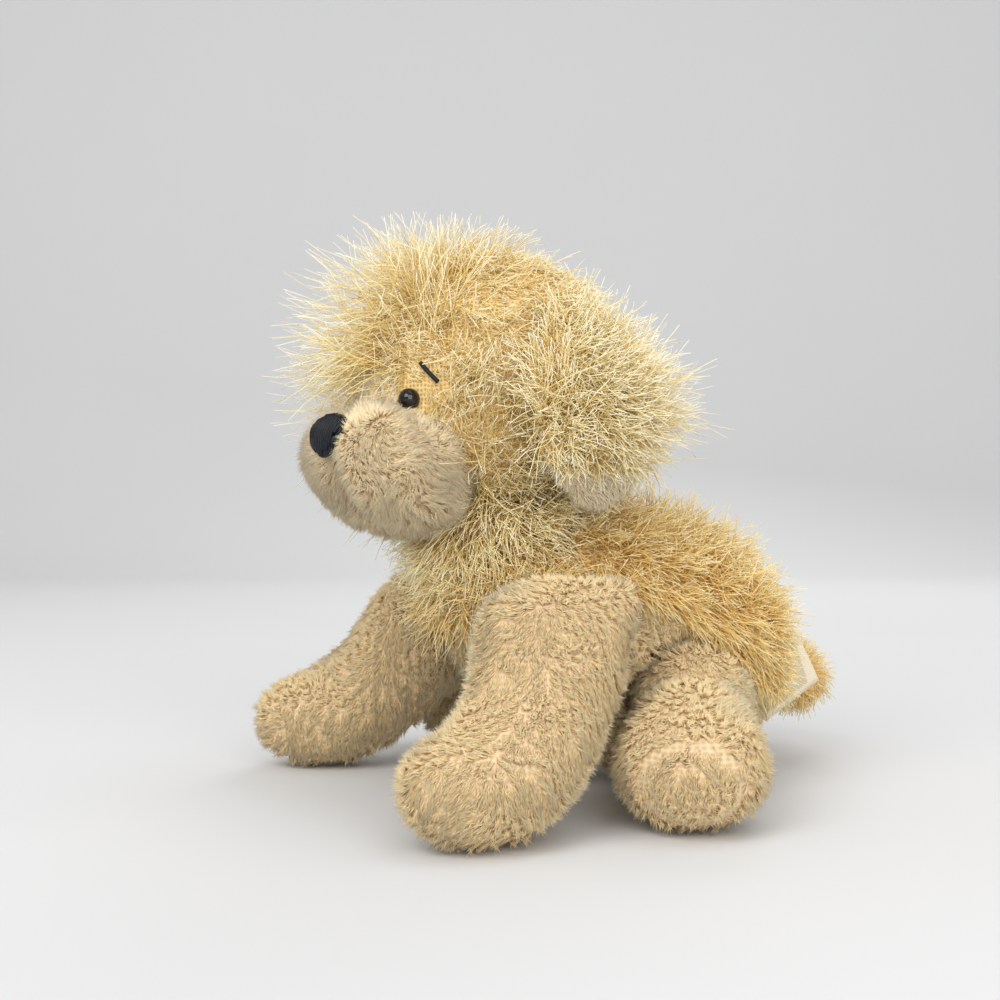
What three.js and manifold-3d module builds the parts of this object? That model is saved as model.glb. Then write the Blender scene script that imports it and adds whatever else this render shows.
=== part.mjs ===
// A sitting plush dog. Its covers are sewn bags of shaggy knit and short plush, filled with fibre
// and with bags of pellets in the seat and paws. X is the dog's left, Y its tail end, Z is up.
import * as THREE from "three";
import { mergeVertices } from "three/addons/utils/BufferGeometryUtils.js";
import Module from "manifold-3d";

const wasm = await Module();
wasm.setup();

// Driving dimensions in millimetres, angles in degrees
const COVER_WALL = 2; // knit backing of every cover
const FIT_GAP = 0.3; // clearance between pieces that touch
const BALL_GAP = 0.8; // clearance of the round neck, hips and tail root in their sockets
const FLOOR_PRESS = 0.5; // how far the seat and paws flatten on the floor

const TORSO_LENGTH = 134;
const TORSO_WIDTH = 88;
const TORSO_DEPTH = 94;
const CHEST_RISE = 46; // chest end of the spine above its seat end
const TORSO_WIDTH_TAPER = [0.9, 1.05, 1.02, 1.04, 0.9]; // shares of the width, chest to rump
const TORSO_DEPTH_TAPER = [0.76, 0.92, 0.98, 1.04, 1];
const TORSO_FULLNESS = 2.6; // bluntness of a form's tips, 2 being round
const SEAM_OFFSETS = [-21, 7, 14, 0, -12]; // side seam above the spine, chest to rump
const SEAT_BAG_HEIGHT = 26; // top of the pellet bag in the seat

const NECK_STATION = 0.127; // share of the spine at which the neck sits
const NECK_RISE = 22;
const NECK_RADIUS = 24;

const SKULL_LENGTH = 96;
const SKULL_WIDTH = 92;
const SKULL_HEIGHT = 94;
const SKULL_SEAT = 3; // bottom of the skull above the neck's centre
const HEAD_TURN = 10; // head turned to the dog's left

const MUZZLE_REACH = 22; // muzzle ahead of the skull
const MUZZLE_DROP = 30; // muzzle below the skull's centre
const CHEEK_SPREAD = 12; // each cheek from the middle of the face
const CHEEK_LENGTH = 50;
const CHEEK_WIDTH = 43;
const CHEEK_HEIGHT = 37;
const CHEEK_TILT = 35; // cheeks sloping down and back from the nose
const CHEEK_SETBACK = 22.7; // middle of the cheeks behind the muzzle's front
const CHEEK_DROP = 1; // cheeks below the muzzle's centre
const BRIDGE_LENGTH = 39;
const BRIDGE_WIDTH = 44;
const BRIDGE_HEIGHT = 36;
const BRIDGE_SETBACK = 27.5; // middle of the bridge of the nose behind the muzzle's front
const BRIDGE_RISE = 6.5;
const MUZZLE_FULLNESS = 2.1;

const CHIN_LENGTH = 39;
const CHIN_WIDTH = 36;
const CHIN_HEIGHT = 24;
const CHIN_SETBACK = 13; // chin behind the muzzle's front
const CHIN_DROP = 12.5; // chin below the muzzle's centre

const NOSE_WIDTH = 25;
const NOSE_HEIGHT = 17;
const NOSE_THICKNESS = 9;
const NOSE_SETBACK = 2;
const NOSE_RISE = 10.3;
const NOSE_LEAN = 20; // top of the nose leaning back
const NOSE_WIDTH_TAPER = [1.1, 1, 0.52]; // shares of the width, top to tip
const NOSE_THICKNESS_TAPER = [1, 1, 0.67];
const NOSE_FULLNESS = 2.4;

const EYE_RADIUS = 4.5;
const EYE_SPREAD = 15; // eye from the middle of the face
const EYE_DROP = 7;
const EYE_SEAT = 0.5;
const SHANK_RADIUS = 1.5;
const SHANK_LENGTH = 10;
const WASHER_RADIUS = 6;
const WASHER_THICKNESS = 1.2;
const WASHER_SEAT = 2; // washer below the inside of the cover

const BROW_LENGTH = 9;
const BROW_RADIUS = 0.8;
const BROW_SPREAD = 22;
const BROW_RISE = 8.5; // brow above the eye
const BROW_SLANT = 48;

const EAR_LENGTH = 75;
const EAR_WIDTH = 60;
const EAR_THICKNESS = 10;
const EAR_ROOT_LENGTH = 27;
const EAR_ROOT_RADIUS = 3;
const EAR_ROOT_RISE = 26; // ear root above the skull's centre
const EAR_ROOT_AHEAD = 1; // middle of the root ahead of the skull's centre
const EAR_ROOT_TOE_IN = 15; // root line turned to follow the skull
const EAR_ROOT_SINK = 1;
const EAR_CLEARANCE = 0.6; // hanging flap off the side of the skull
const EAR_FLARE = [0, 10, 15, 13]; // ear out from its root, root to tip
const EAR_SEAM_OFFSETS = [0, 0, 1, 9]; // seam out from the middle of the ear, root to tip
const EAR_WIDTH_TAPER = [EAR_ROOT_LENGTH / EAR_WIDTH, 0.94, 1.05, 0.9];
const EAR_THICKNESS_TAPER = [(2 * EAR_ROOT_RADIUS) / EAR_THICKNESS, 0.9, 1.05, 0.8];
const EAR_FULLNESS = 3;

const SEAT_SINK = 13; // shoulder seats below the torso's widest point
const SEAT_RADIUS = 31;
const LEG_SINK = 11; // how much of a front leg's round side is lost where it lies on its seat

const SHOULDER_BACK = 11; // shoulder behind the chest
const SHOULDER_HEIGHT = 60;
const FRONT_LEG_WIDTH = 46;
const FRONT_LEG_DEPTH = 52;
const FRONT_LEG_SPLAY = 33; // paw outside the shoulder
const FRONT_LEG_REACH = 62; // toe ahead of the shoulder
const FRONT_PAW_HEIGHT = 44;
const FRONT_LEG_COURSE = [
  [0, -0.06, 1.58],
  [0.2, -0.03, 1],
  [0.6, 0.19, 0.4],
  [0.9, 0.5, 0],
  [1, 1, 0],
]; // shares of the splay, the reach and the drop from shoulder to paw
const FRONT_LEG_WIDTH_TAPER = [1.15, 1.15, 1.04, 1.04, 0.96];
const FRONT_LEG_DEPTH_TAPER = [1, 1, 0.88]; // shares of the depth, shoulder to ankle
const FRONT_PAW_TAPER = [1.02, 1]; // shares of the paw's height, ankle to toe
const FRONT_LEG_FULLNESS = 4;
const FRONT_BAG_START = 0.72; // share of the leg at which its pellet bag begins

const HIP_AHEAD = 60; // hip ahead of the rump
const HIP_SINK = 2.5; // hip's centre below the torso's widest point
const HIP_RADIUS = 23;
const HIP_HEIGHT = 33;
const HIND_LEG_GIRTH = 44;
const HIND_PAW_WIDTH = 54;
const HIND_PAW_HEIGHT = 44;
const HIND_LEG_SPLAY = 63; // sole outside the hip
const HIND_LEG_REACH = 40; // sole ahead of the hip
const HIND_LEG_COURSE = [-0.06, 0.2, 0.46, 0.73, 1]; // shares of the way from hip to sole
const HIND_LEG_SPREAD = [0, 0, 0.5, 1.02, 1]; // from the girth of the leg to the size of the paw
const HIND_LEG_FULLNESS = 3.2;
const HIND_BAG_START = 0.62;
const SOLE_START = 0.9; // share of the leg at which the sole panel is sewn on

const TAIL_LENGTH = 66;
const TAIL_RADIUS = 12;
const TAIL_ROOT_RADIUS = 11;
const TAIL_ROOT_PROUD = 3; // tail root behind the end of the torso
const TAIL_ROOT_DROP = 3;
const TAIL_CURL = [
  [0, -0.1, 0.02],
  [-0.06, 0.2, -0.03],
  [-0.3, 0.42, -0.06],
  [-0.64, 0.48, 0],
]; // course of the tail from its root, in shares of its length
const TAIL_TAPER = [0.9, 1, 1, 0.8];
const TAIL_FULLNESS = 2.6;

const LABEL_LENGTH = 36;
const LABEL_WIDTH = 22;
const LABEL_THICKNESS = 0.8;
const LABEL_OFFSET = 22; // label to the left of the tail
const LABEL_LEAN = 30; // free end leaning up
const LABEL_END_BACK = 2; // free end behind the tail root's centre
const LABEL_END_RISE = 9;

// Colours and finishes
const cloth = (color) => new THREE.MeshStandardMaterial({ color, roughness: 0.95, metalness: 0 });
const SHAG = cloth(0xd9ae68);
const PLUSH = cloth(0xe2c79b);
const LINING = cloth(0xf1e7d3);
const FIBRE = cloth(0xf4f2ec);
const BAG = cloth(0xe7e3d8);
const THREAD = new THREE.MeshStandardMaterial({ color: 0x14151c, roughness: 0.55, metalness: 0 });
const BEAD = new THREE.MeshStandardMaterial({ color: 0x08080a, roughness: 0.08, metalness: 0 });
const PLASTIC = new THREE.MeshStandardMaterial({ color: 0xe9e9e4, roughness: 0.5, metalness: 0 });
const RIBBON = new THREE.MeshStandardMaterial({ color: 0xe8d9b6, roughness: 0.6, metalness: 0 });

const inCover = COVER_WALL + FIT_GAP; // a filling below the outside of its cover
const BEYOND = 400; // larger than the whole dog
const ROUND_STEPS = 16;
const SMALL_STEPS = 12;
const SEAM_STEPS = 8;
const DOME_STEPS = 4;
const BROW_STEPS = 4;
const LARGE_FORM = { sides: 16, rings: 12 };
const MIDDLE_FORM = { sides: 14, rings: 10 };
const SMALL_FORM = { sides: 12, rings: 8 };
const INNER_SHARE = 0.6; // steps of an inside surface to those of the outside
const AXIS_X = new THREE.Vector3(1, 0, 0);
const AXIS_Y = new THREE.Vector3(0, 1, 0);
const AXIS_Z = new THREE.Vector3(0, 0, 1);
const SIDES = { left: 1, right: -1 };
const radians = THREE.MathUtils.degToRad;
const vector = (x, y, z) => new THREE.Vector3(x, y, z);
const flat = (x, y) => new THREE.Vector2(x, y);

// Closed surfaces become solids for joining and cutting, and come back as surfaces
function solid(geometry) {
  const bare = geometry.index ? geometry.clone() : mergeVertices(geometry);
  bare.deleteAttribute("normal");
  bare.deleteAttribute("uv");
  const merged = mergeVertices(bare, 1e-4);
  const vertProperties = Float32Array.from(merged.attributes.position.array);
  const triVerts = Uint32Array.from(merged.index.array);
  return new wasm.Manifold(new wasm.Mesh({ numProp: 3, vertProperties, triVerts }));
}

function surface(body) {
  const { vertProperties, triVerts } = body.getMesh();
  const geometry = new THREE.BufferGeometry();
  geometry.setAttribute("position", new THREE.BufferAttribute(vertProperties, 3));
  geometry.setIndex(new THREE.BufferAttribute(triVerts, 1));
  geometry.computeVertexNormals();
  return geometry;
}

// A named piece, mirrored on to the dog's right where the sign is negative
function piece(name, body, material, sign = 1) {
  const geometry = surface(body);
  if (sign < 0) {
    geometry.scale(-1, 1, 1);
    const order = geometry.index.array;
    for (let i = 0; i < order.length; i += 3) [order[i], order[i + 1]] = [order[i + 1], order[i]];
  }
  const mesh = new THREE.Mesh(geometry, material);
  mesh.name = name;
  return mesh;
}

// Cutters: everything ahead of a plane, a ball, and a round bar from a point along an axis
function ahead(point, normal) {
  const block = new THREE.BoxGeometry(BEYOND, BEYOND, BEYOND).translate(0, 0, BEYOND / 2);
  block.applyQuaternion(new THREE.Quaternion().setFromUnitVectors(AXIS_Z, normal.clone().normalize()));
  return solid(block.translate(...point));
}

function ball(centre, radius, around = ROUND_STEPS) {
  const round = new THREE.SphereGeometry(radius, around, around / 2).rotateX(Math.PI / 2);
  return solid(round.translate(...centre));
}

function bar(start, axis, radius, length) {
  const rod = new THREE.CylinderGeometry(radius, radius, length, ROUND_STEPS).translate(0, length / 2, 0);
  rod.applyQuaternion(new THREE.Quaternion().setFromUnitVectors(AXIS_Y, axis.clone().normalize()));
  return solid(rod.translate(...start));
}

// Everything on the far side of a curved seam, which is drawn in the plane of two axes
function pastLine(points, origin, along, up) {
  const line = new THREE.SplineCurve(points).getPoints(SEAM_STEPS);
  const first = flat(line[0].x - BEYOND, line[0].y);
  const last = flat(line[SEAM_STEPS].x + BEYOND, line[SEAM_STEPS].y);
  const outline = new THREE.Shape([first, ...line, last, flat(last.x, BEYOND), flat(first.x, BEYOND)]);
  const block = new THREE.ExtrudeGeometry(outline, { depth: BEYOND, bevelEnabled: false });
  block.translate(0, 0, -BEYOND / 2);
  block.applyMatrix4(new THREE.Matrix4().makeBasis(along, up, along.clone().cross(up)));
  return solid(block.translate(...origin));
}

// A stuffed form follows a spine and swells to its half width and half depth along it, with a
// domed end at each tip. An inset gives the same form inside its wall, and below zero outside it.
function stuffed(form, inset = 0) {
  const { spine, across, deep, fullness = 2, side = AXIS_X } = form;
  const sides = inset > 0 ? 2 * Math.ceil((INNER_SHARE * form.sides) / 2) : form.sides;
  const rings = inset > 0 ? Math.ceil(INNER_SHARE * form.rings) : form.rings;
  const path = new THREE.CatmullRomCurve3(spine);
  const girth = new THREE.CatmullRomCurve3(across.map((half, i) => vector(half, deep[i], 0)));
  const trim = Math.max(inset, 0) / path.getLength();
  const from = path.getUtoTmapping(trim);
  const to = path.getUtoTmapping(1 - trim);
  const points = [];
  for (let i = 0; i <= rings; i += 1) {
    const share = (1 - Math.cos((Math.PI * i) / rings)) / 2;
    const station = from + (to - from) * share;
    const tangent = path.getTangent(station);
    const centre = path.getPoint(station).addScaledVector(tangent, Math.max(-inset, 0) * (2 * share - 1));
    if (i === 0 || i === rings) {
      points.push(centre);
      continue;
    }
    const dome = Math.sqrt(1 - Math.abs(2 * share - 1) ** fullness);
    const sideways = side.clone().addScaledVector(tangent, -side.dot(tangent)).normalize();
    const upward = sideways.clone().cross(tangent);
    const half = girth.getPoint(station);
    for (let k = 0; k < sides; k += 1) {
      const angle = (2 * Math.PI * (k + 0.5)) / sides;
      const point = centre.clone().addScaledVector(sideways, Math.cos(angle) * dome * (half.x - inset));
      points.push(point.addScaledVector(upward, Math.sin(angle) * dome * (half.y - inset)));
    }
  }
  const last = points.length - 1;
  const at = (ring, k) => 1 + (ring - 1) * sides + (k % sides);
  const triangles = [];
  for (let k = 0; k < sides; k += 1) {
    triangles.push(0, at(1, k), at(1, k + 1));
    for (let i = 1; i < rings - 1; i += 1) {
      triangles.push(at(i, k), at(i + 1, k), at(i, k + 1));
      triangles.push(at(i, k + 1), at(i + 1, k), at(i + 1, k + 1));
    }
    triangles.push(last, at(rings - 1, k + 1), at(rings - 1, k));
  }
  const geometry = new THREE.BufferGeometry().setFromPoints(points);
  geometry.setIndex(triangles);
  return geometry;
}

// Moves a form so that its lowest point presses into the floor
function settle(form) {
  const shell = stuffed(form);
  shell.computeBoundingBox();
  const drop = shell.boundingBox.min.z + FLOOR_PRESS;
  form.spine.forEach((point) => (point.z -= drop));
  return form;
}

const floor = ahead([0, 0, 0], AXIS_Z.clone().negate());
const raisedFloor = (height) => ahead([0, 0, height], AXIS_Z.clone().negate());

// Torso: spine, side seam, neck and leg seats
const SPINE_SHARES = [0, 0.25, 0.5, 0.75, 1];
const torsoForm = settle({
  spine: SPINE_SHARES.map((s) => vector(0, TORSO_LENGTH * s, CHEST_RISE * (1 - s) ** 2)),
  across: TORSO_WIDTH_TAPER.map((share) => (share * TORSO_WIDTH) / 2),
  deep: TORSO_DEPTH_TAPER.map((share) => (share * TORSO_DEPTH) / 2),
  fullness: TORSO_FULLNESS,
  ...LARGE_FORM,
});
const torsoSpine = new THREE.CatmullRomCurve3(torsoForm.spine);
const rumpTip = torsoSpine.getPoint(1);
const neck = torsoSpine.getPoint(NECK_STATION).add(vector(0, 0, NECK_RISE));
const seatX = TORSO_WIDTH / 2 - SEAT_SINK;
const shoulder = vector(seatX, SHOULDER_BACK, SHOULDER_HEIGHT);
const hip = vector(TORSO_WIDTH / 2 - HIP_SINK, TORSO_LENGTH - HIP_AHEAD, HIP_HEIGHT);
const tailRoot = rumpTip.clone().add(vector(0, TAIL_ROOT_PROUD, -TAIL_ROOT_DROP));
const mirrored = (point, sign) => vector(point.x * sign, point.y, point.z);

// What the torso gives up to the legs, neck and tail, grown by the wall it keeps round them
function torsoSeats(grow) {
  let cut = ball(tailRoot, TAIL_ROOT_RADIUS + BALL_GAP + grow);
  for (const sign of Object.values(SIDES)) {
    const start = mirrored(shoulder, sign).addScaledVector(AXIS_X, -sign * grow);
    cut = cut.add(bar(start, vector(sign, 0, 0), SEAT_RADIUS + grow, TORSO_WIDTH));
    cut = cut.add(ball(mirrored(hip, sign), HIP_RADIUS + BALL_GAP + grow));
  }
  return cut.add(ball(neck, NECK_RADIUS + BALL_GAP + grow));
}

// The back's side of the seam, which takes the whole neck socket with it
function aboveSeam(shift) {
  const seam = SPINE_SHARES.map((s, i) => {
    const point = torsoSpine.getPoint(s);
    return flat(point.y, point.z + SEAM_OFFSETS[i] + shift);
  });
  const socket = ball(neck, NECK_RADIUS + BALL_GAP + inCover - shift);
  return pastLine(seam, vector(0, 0, 0), AXIS_Y, AXIS_Z).add(socket);
}

const torsoOuter = solid(stuffed(torsoForm)).subtract(floor).subtract(torsoSeats(0));
const torsoHollow = solid(stuffed(torsoForm, COVER_WALL))
  .subtract(raisedFloor(COVER_WALL))
  .subtract(torsoSeats(COVER_WALL));
const torsoFill = solid(stuffed(torsoForm, inCover))
  .subtract(raisedFloor(inCover))
  .subtract(torsoSeats(inCover));
const torsoSkin = torsoOuter.subtract(torsoHollow);

const torso = new THREE.Group();
torso.add(
  piece("back_cover", torsoSkin.intersect(aboveSeam(FIT_GAP / 2)), SHAG),
  piece("belly_panel", torsoSkin.subtract(aboveSeam(-FIT_GAP / 2)), PLUSH),
  piece("body_stuffing", torsoFill.subtract(raisedFloor(SEAT_BAG_HEIGHT + FIT_GAP)), FIBRE),
  piece("seat_pellet_bag", torsoFill.intersect(raisedFloor(SEAT_BAG_HEIGHT)), BAG),
  piece("neck_stuffing", ball(neck, NECK_RADIUS), FIBRE),
);

// Head: a round skull, a muzzle of two cheeks under a bridge, and a chin below them
const skullCentre = neck.clone().add(vector(0, 0, SKULL_SEAT + SKULL_HEIGHT / 2));
const skullHalf = vector(SKULL_WIDTH / 2, SKULL_LENGTH / 2, SKULL_HEIGHT / 2);
const skullForm = {
  spine: [-1, 0, 1].map((end) => skullCentre.clone().addScaledVector(AXIS_Y, end * skullHalf.y)),
  across: [skullHalf.x, skullHalf.x],
  deep: [skullHalf.z, skullHalf.z],
  ...LARGE_FORM,
};

// A point on the skull's front or side from its other two offsets, and the way it faces there
function onFace(x, z) {
  const y = -skullHalf.y * Math.sqrt(1 - (x / skullHalf.x) ** 2 - (z / skullHalf.z) ** 2);
  return skullCentre.clone().add(vector(x, y, z));
}

function onFlank(y, z) {
  const x = skullHalf.x * Math.sqrt(1 - (y / skullHalf.y) ** 2 - (z / skullHalf.z) ** 2);
  return skullCentre.clone().add(vector(x, y, z));
}

function facing(point) {
  return point.clone().sub(skullCentre).divide(skullHalf).divide(skullHalf).normalize();
}

const muzzleFront = skullCentre.clone().add(vector(0, -skullHalf.y - MUZZLE_REACH, -MUZZLE_DROP));
const cheekTilt = radians(CHEEK_TILT);
const cheekWay = vector(0, Math.cos(cheekTilt), -Math.sin(cheekTilt));
function muzzleLobe(offset, way, length, width, height) {
  const middle = muzzleFront.clone().add(offset);
  return {
    spine: [-0.5, 0, 0.5].map((s) => middle.clone().addScaledVector(way, s * length)),
    across: [width / 2, width / 2],
    deep: [height / 2, height / 2],
    fullness: MUZZLE_FULLNESS,
    ...MIDDLE_FORM,
  };
}

const bridgeOffset = vector(0, BRIDGE_SETBACK, BRIDGE_RISE);
const muzzleLobes = [muzzleLobe(bridgeOffset, AXIS_Y, BRIDGE_LENGTH, BRIDGE_WIDTH, BRIDGE_HEIGHT)];
for (const sign of Object.values(SIDES)) {
  const offset = vector(sign * CHEEK_SPREAD, CHEEK_SETBACK, -CHEEK_DROP);
  muzzleLobes.push(muzzleLobe(offset, cheekWay, CHEEK_LENGTH, CHEEK_WIDTH, CHEEK_HEIGHT));
}
function muzzle(inset) {
  const lobes = muzzleLobes.map((form) => solid(stuffed(form, inset)));
  return lobes.reduce((whole, lobe) => whole.add(lobe));
}

const chinFront = muzzleFront.clone().add(vector(0, CHIN_SETBACK, -CHIN_DROP));
const chinForm = {
  spine: [0, 0.5, 1].map((s) => chinFront.clone().addScaledVector(AXIS_Y, s * CHIN_LENGTH)),
  across: [CHIN_WIDTH / 2, CHIN_WIDTH / 2],
  deep: [CHIN_HEIGHT / 2, CHIN_HEIGHT / 2],
  ...SMALL_FORM,
};
const noseLean = radians(NOSE_LEAN);
const noseUp = vector(0, Math.sin(noseLean), Math.cos(noseLean));
const noseCentre = muzzleFront.clone().add(vector(0, NOSE_SETBACK, NOSE_RISE));
const noseForm = {
  spine: [1, 0, -1].map((end) => noseCentre.clone().addScaledVector(noseUp, (end * NOSE_HEIGHT) / 2)),
  across: NOSE_WIDTH_TAPER.map((share) => (share * NOSE_WIDTH) / 2),
  deep: NOSE_THICKNESS_TAPER.map((share) => (share * NOSE_THICKNESS) / 2),
  fullness: NOSE_FULLNESS,
  ...SMALL_FORM,
};

// Eye: a domed bead on a shank that a washer holds inside the cover
function turned(profile, point, normal) {
  const shape = new THREE.LatheGeometry(profile, SMALL_STEPS).rotateX(Math.PI / 2);
  shape.applyQuaternion(new THREE.Quaternion().setFromUnitVectors(AXIS_Z, normal));
  return solid(shape.translate(...point));
}

const beadProfile = [
  flat(0, -SHANK_LENGTH),
  flat(SHANK_RADIUS, -SHANK_LENGTH),
  flat(SHANK_RADIUS, EYE_SEAT),
];
for (let i = 0; i <= DOME_STEPS; i += 1) {
  const angle = ((Math.PI / 2) * i) / DOME_STEPS;
  const radius = i === DOME_STEPS ? 0 : EYE_RADIUS * Math.cos(angle);
  beadProfile.push(flat(radius, EYE_SEAT + EYE_RADIUS * Math.sin(angle)));
}
const washerTop = -COVER_WALL - WASHER_SEAT;
const washerFloor = washerTop - WASHER_THICKNESS;
const washerBore = SHANK_RADIUS + FIT_GAP;
const washerProfile = [
  flat(washerBore, washerFloor),
  flat(WASHER_RADIUS, washerFloor),
  flat(WASHER_RADIUS, washerTop),
  flat(washerBore, washerTop),
  flat(washerBore, washerFloor),
];

// Ear: a flap on a rolled root, hinged along a line on the flank of the skull
const earToeIn = radians(EAR_ROOT_TOE_IN);
const earOut = vector(Math.cos(earToeIn), Math.sin(earToeIn), 0);
const earAlong = vector(-Math.sin(earToeIn), Math.cos(earToeIn), 0);
const earRoot = onFlank(-EAR_ROOT_AHEAD, EAR_ROOT_RISE);
earRoot.addScaledVector(earOut, EAR_ROOT_RADIUS - EAR_ROOT_SINK);
const earDrop = (i) => (EAR_LENGTH * i) / (EAR_FLARE.length - 1) - EAR_ROOT_RADIUS;
const earPoint = (out, i) => earRoot.clone().addScaledVector(earOut, out).sub(vector(0, 0, earDrop(i)));
const earForm = {
  spine: EAR_FLARE.map(earPoint),
  across: EAR_WIDTH_TAPER.map((share) => (share * EAR_WIDTH) / 2),
  deep: EAR_THICKNESS_TAPER.map((share) => (share * EAR_THICKNESS) / 2),
  fullness: EAR_FULLNESS,
  side: earAlong,
  ...SMALL_FORM,
};

function earRoll(sign, radius, length) {
  const start = earRoot.clone().addScaledVector(earAlong, -length / 2);
  return bar(mirrored(start, sign), mirrored(earAlong, sign), radius, length);
}

function earMiddle(shift) {
  const line = EAR_FLARE.map((out, i) => flat(earDrop(i), out + EAR_SEAM_OFFSETS[i] + shift));
  return pastLine(line, earRoot, AXIS_Z.clone().negate(), earOut);
}

const earFlap = solid(stuffed(earForm))
  .subtract(solid(stuffed(skullForm, -EAR_CLEARANCE)))
  .add(earRoll(1, EAR_ROOT_RADIUS, EAR_ROOT_LENGTH));
const earOuter = earFlap.intersect(earMiddle(FIT_GAP / 2));
const earLining = earFlap.subtract(earMiddle(-FIT_GAP / 2));

// Brow: a short bar of thread that follows the skull, slanting down to the outside
const browThread = new THREE.Shape().absarc(0, 0, BROW_RADIUS, 0, 2 * Math.PI);
const browSlant = radians(BROW_SLANT);
function brow() {
  const points = [];
  for (let i = 0; i <= BROW_STEPS; i += 1) {
    const along = (i / BROW_STEPS - 0.5) * BROW_LENGTH;
    const x = BROW_SPREAD + along * Math.cos(browSlant);
    const point = onFace(x, BROW_RISE - EYE_DROP - along * Math.sin(browSlant));
    points.push(point.addScaledVector(facing(point), BROW_RADIUS + FIT_GAP));
  }
  const extrudePath = new THREE.CatmullRomCurve3(points);
  const options = { steps: BROW_STEPS, curveSegments: SMALL_STEPS / 2, extrudePath };
  return solid(new THREE.ExtrudeGeometry(browThread, options));
}

// What the skull gives up to the neck, the ear roots and the eye shanks
const neckRoom = ball(neck, NECK_RADIUS + BALL_GAP);
let skullCuts = neckRoom;
let faceRoom = solid(stuffed(skullForm, -FIT_GAP)).add(neckRoom);
let fillCuts = ball(neck, NECK_RADIUS + BALL_GAP + inCover);
for (const sign of Object.values(SIDES)) {
  const eye = onFace(sign * EYE_SPREAD, -EYE_DROP);
  const inwards = facing(eye).negate();
  const start = eye.clone().addScaledVector(inwards, -EYE_RADIUS);
  const pocketDepth = EYE_RADIUS - washerFloor + FIT_GAP;
  const shankDepth = EYE_RADIUS + SHANK_LENGTH + FIT_GAP;
  const shankHole = bar(start, inwards, SHANK_RADIUS + FIT_GAP, shankDepth);
  const pocket = bar(start, inwards, WASHER_RADIUS + FIT_GAP, pocketDepth);
  const groove = earRoll(sign, EAR_ROOT_RADIUS + FIT_GAP, EAR_ROOT_LENGTH + 2 * FIT_GAP);
  skullCuts = skullCuts.add(groove).add(shankHole);
  faceRoom = faceRoom.add(ball(eye, EYE_RADIUS + 2 * FIT_GAP, SMALL_STEPS));
  fillCuts = fillCuts.add(shankHole).add(pocket);
}
const muzzleHollow = muzzle(COVER_WALL);
const muzzleFill = muzzle(inCover);
const muzzleRoom = muzzle(-FIT_GAP);
const neckLining = ball(neck, NECK_RADIUS + BALL_GAP + COVER_WALL);
const skullHollow = solid(stuffed(skullForm, COVER_WALL)).subtract(neckLining);
const skullSkin = solid(stuffed(skullForm)).subtract(skullHollow);
const muzzleSkin = muzzle(0).subtract(muzzleHollow);
const headFill = solid(stuffed(skullForm, inCover)).add(muzzleFill);

const head = new THREE.Group();
head.add(
  piece("head_cover", skullSkin.subtract(muzzleHollow).subtract(skullCuts), SHAG),
  piece("muzzle_cover", muzzleSkin.subtract(faceRoom), PLUSH),
  piece("chin_panel", solid(stuffed(chinForm)).subtract(muzzleRoom).subtract(faceRoom), PLUSH),
  piece("head_stuffing", headFill.subtract(fillCuts), FIBRE),
  piece("nose", solid(stuffed(noseForm)).subtract(muzzleRoom).subtract(faceRoom), THREAD),
);
for (const [name, sign] of Object.entries(SIDES)) {
  const eye = onFace(EYE_SPREAD, -EYE_DROP);
  head.add(
    piece(`eye_${name}`, turned(beadProfile, eye, facing(eye)), BEAD, sign),
    piece(`eye_washer_${name}`, turned(washerProfile, eye, facing(eye)), PLASTIC, sign),
    piece(`eyebrow_${name}`, brow(), THREAD, sign),
    piece(`ear_${name}_outer`, earOuter, SHAG, sign),
    piece(`ear_${name}_lining`, earLining, LINING, sign),
  );
}

// Legs: socks of plush over fibre with pellets in the paw. A front leg lies flat on its shoulder
// seat, and a hind leg has a round root in the hip. Both are open where they are sewn on.
const frontOut = (FRONT_LEG_WIDTH_TAPER[0] * FRONT_LEG_WIDTH) / 2 - LEG_SINK;
const frontDrop = SHOULDER_HEIGHT - FRONT_PAW_HEIGHT / 2;
const frontLeg = settle({
  spine: FRONT_LEG_COURSE.map(([out, forward, up]) =>
    shoulder
      .clone()
      .add(vector(frontOut + out * FRONT_LEG_SPLAY, -forward * FRONT_LEG_REACH, (up - 1) * frontDrop)),
  ),
  across: FRONT_LEG_WIDTH_TAPER.map((share) => (share * FRONT_LEG_WIDTH) / 2),
  deep: [
    ...FRONT_LEG_DEPTH_TAPER.map((share) => (share * FRONT_LEG_DEPTH) / 2),
    ...FRONT_PAW_TAPER.map((share) => (share * FRONT_PAW_HEIGHT) / 2),
  ],
  fullness: FRONT_LEG_FULLNESS,
  ...LARGE_FORM,
});
const hindWay = vector(HIND_LEG_SPLAY, -HIND_LEG_REACH, HIND_PAW_HEIGHT / 2 - HIP_HEIGHT);
const between = THREE.MathUtils.lerp;
const spread = (size) => HIND_LEG_SPREAD.map((share) => between(HIND_LEG_GIRTH, size, share) / 2);
const hindLeg = settle({
  spine: HIND_LEG_COURSE.map((share) => hip.clone().addScaledVector(hindWay, share)),
  across: spread(HIND_PAW_WIDTH),
  deep: spread(HIND_PAW_HEIGHT),
  fullness: HIND_LEG_FULLNESS,
  side: vector(HIND_LEG_REACH, HIND_LEG_SPLAY, 0).normalize(),
  ...MIDDLE_FORM,
});

// Everything in a leg past a share of its spine
function pastShare(form, share, shift) {
  const path = new THREE.CatmullRomCurve3(form.spine);
  const tangent = path.getTangent(share);
  return ahead(path.getPoint(share).addScaledVector(tangent, shift), tangent);
}

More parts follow.
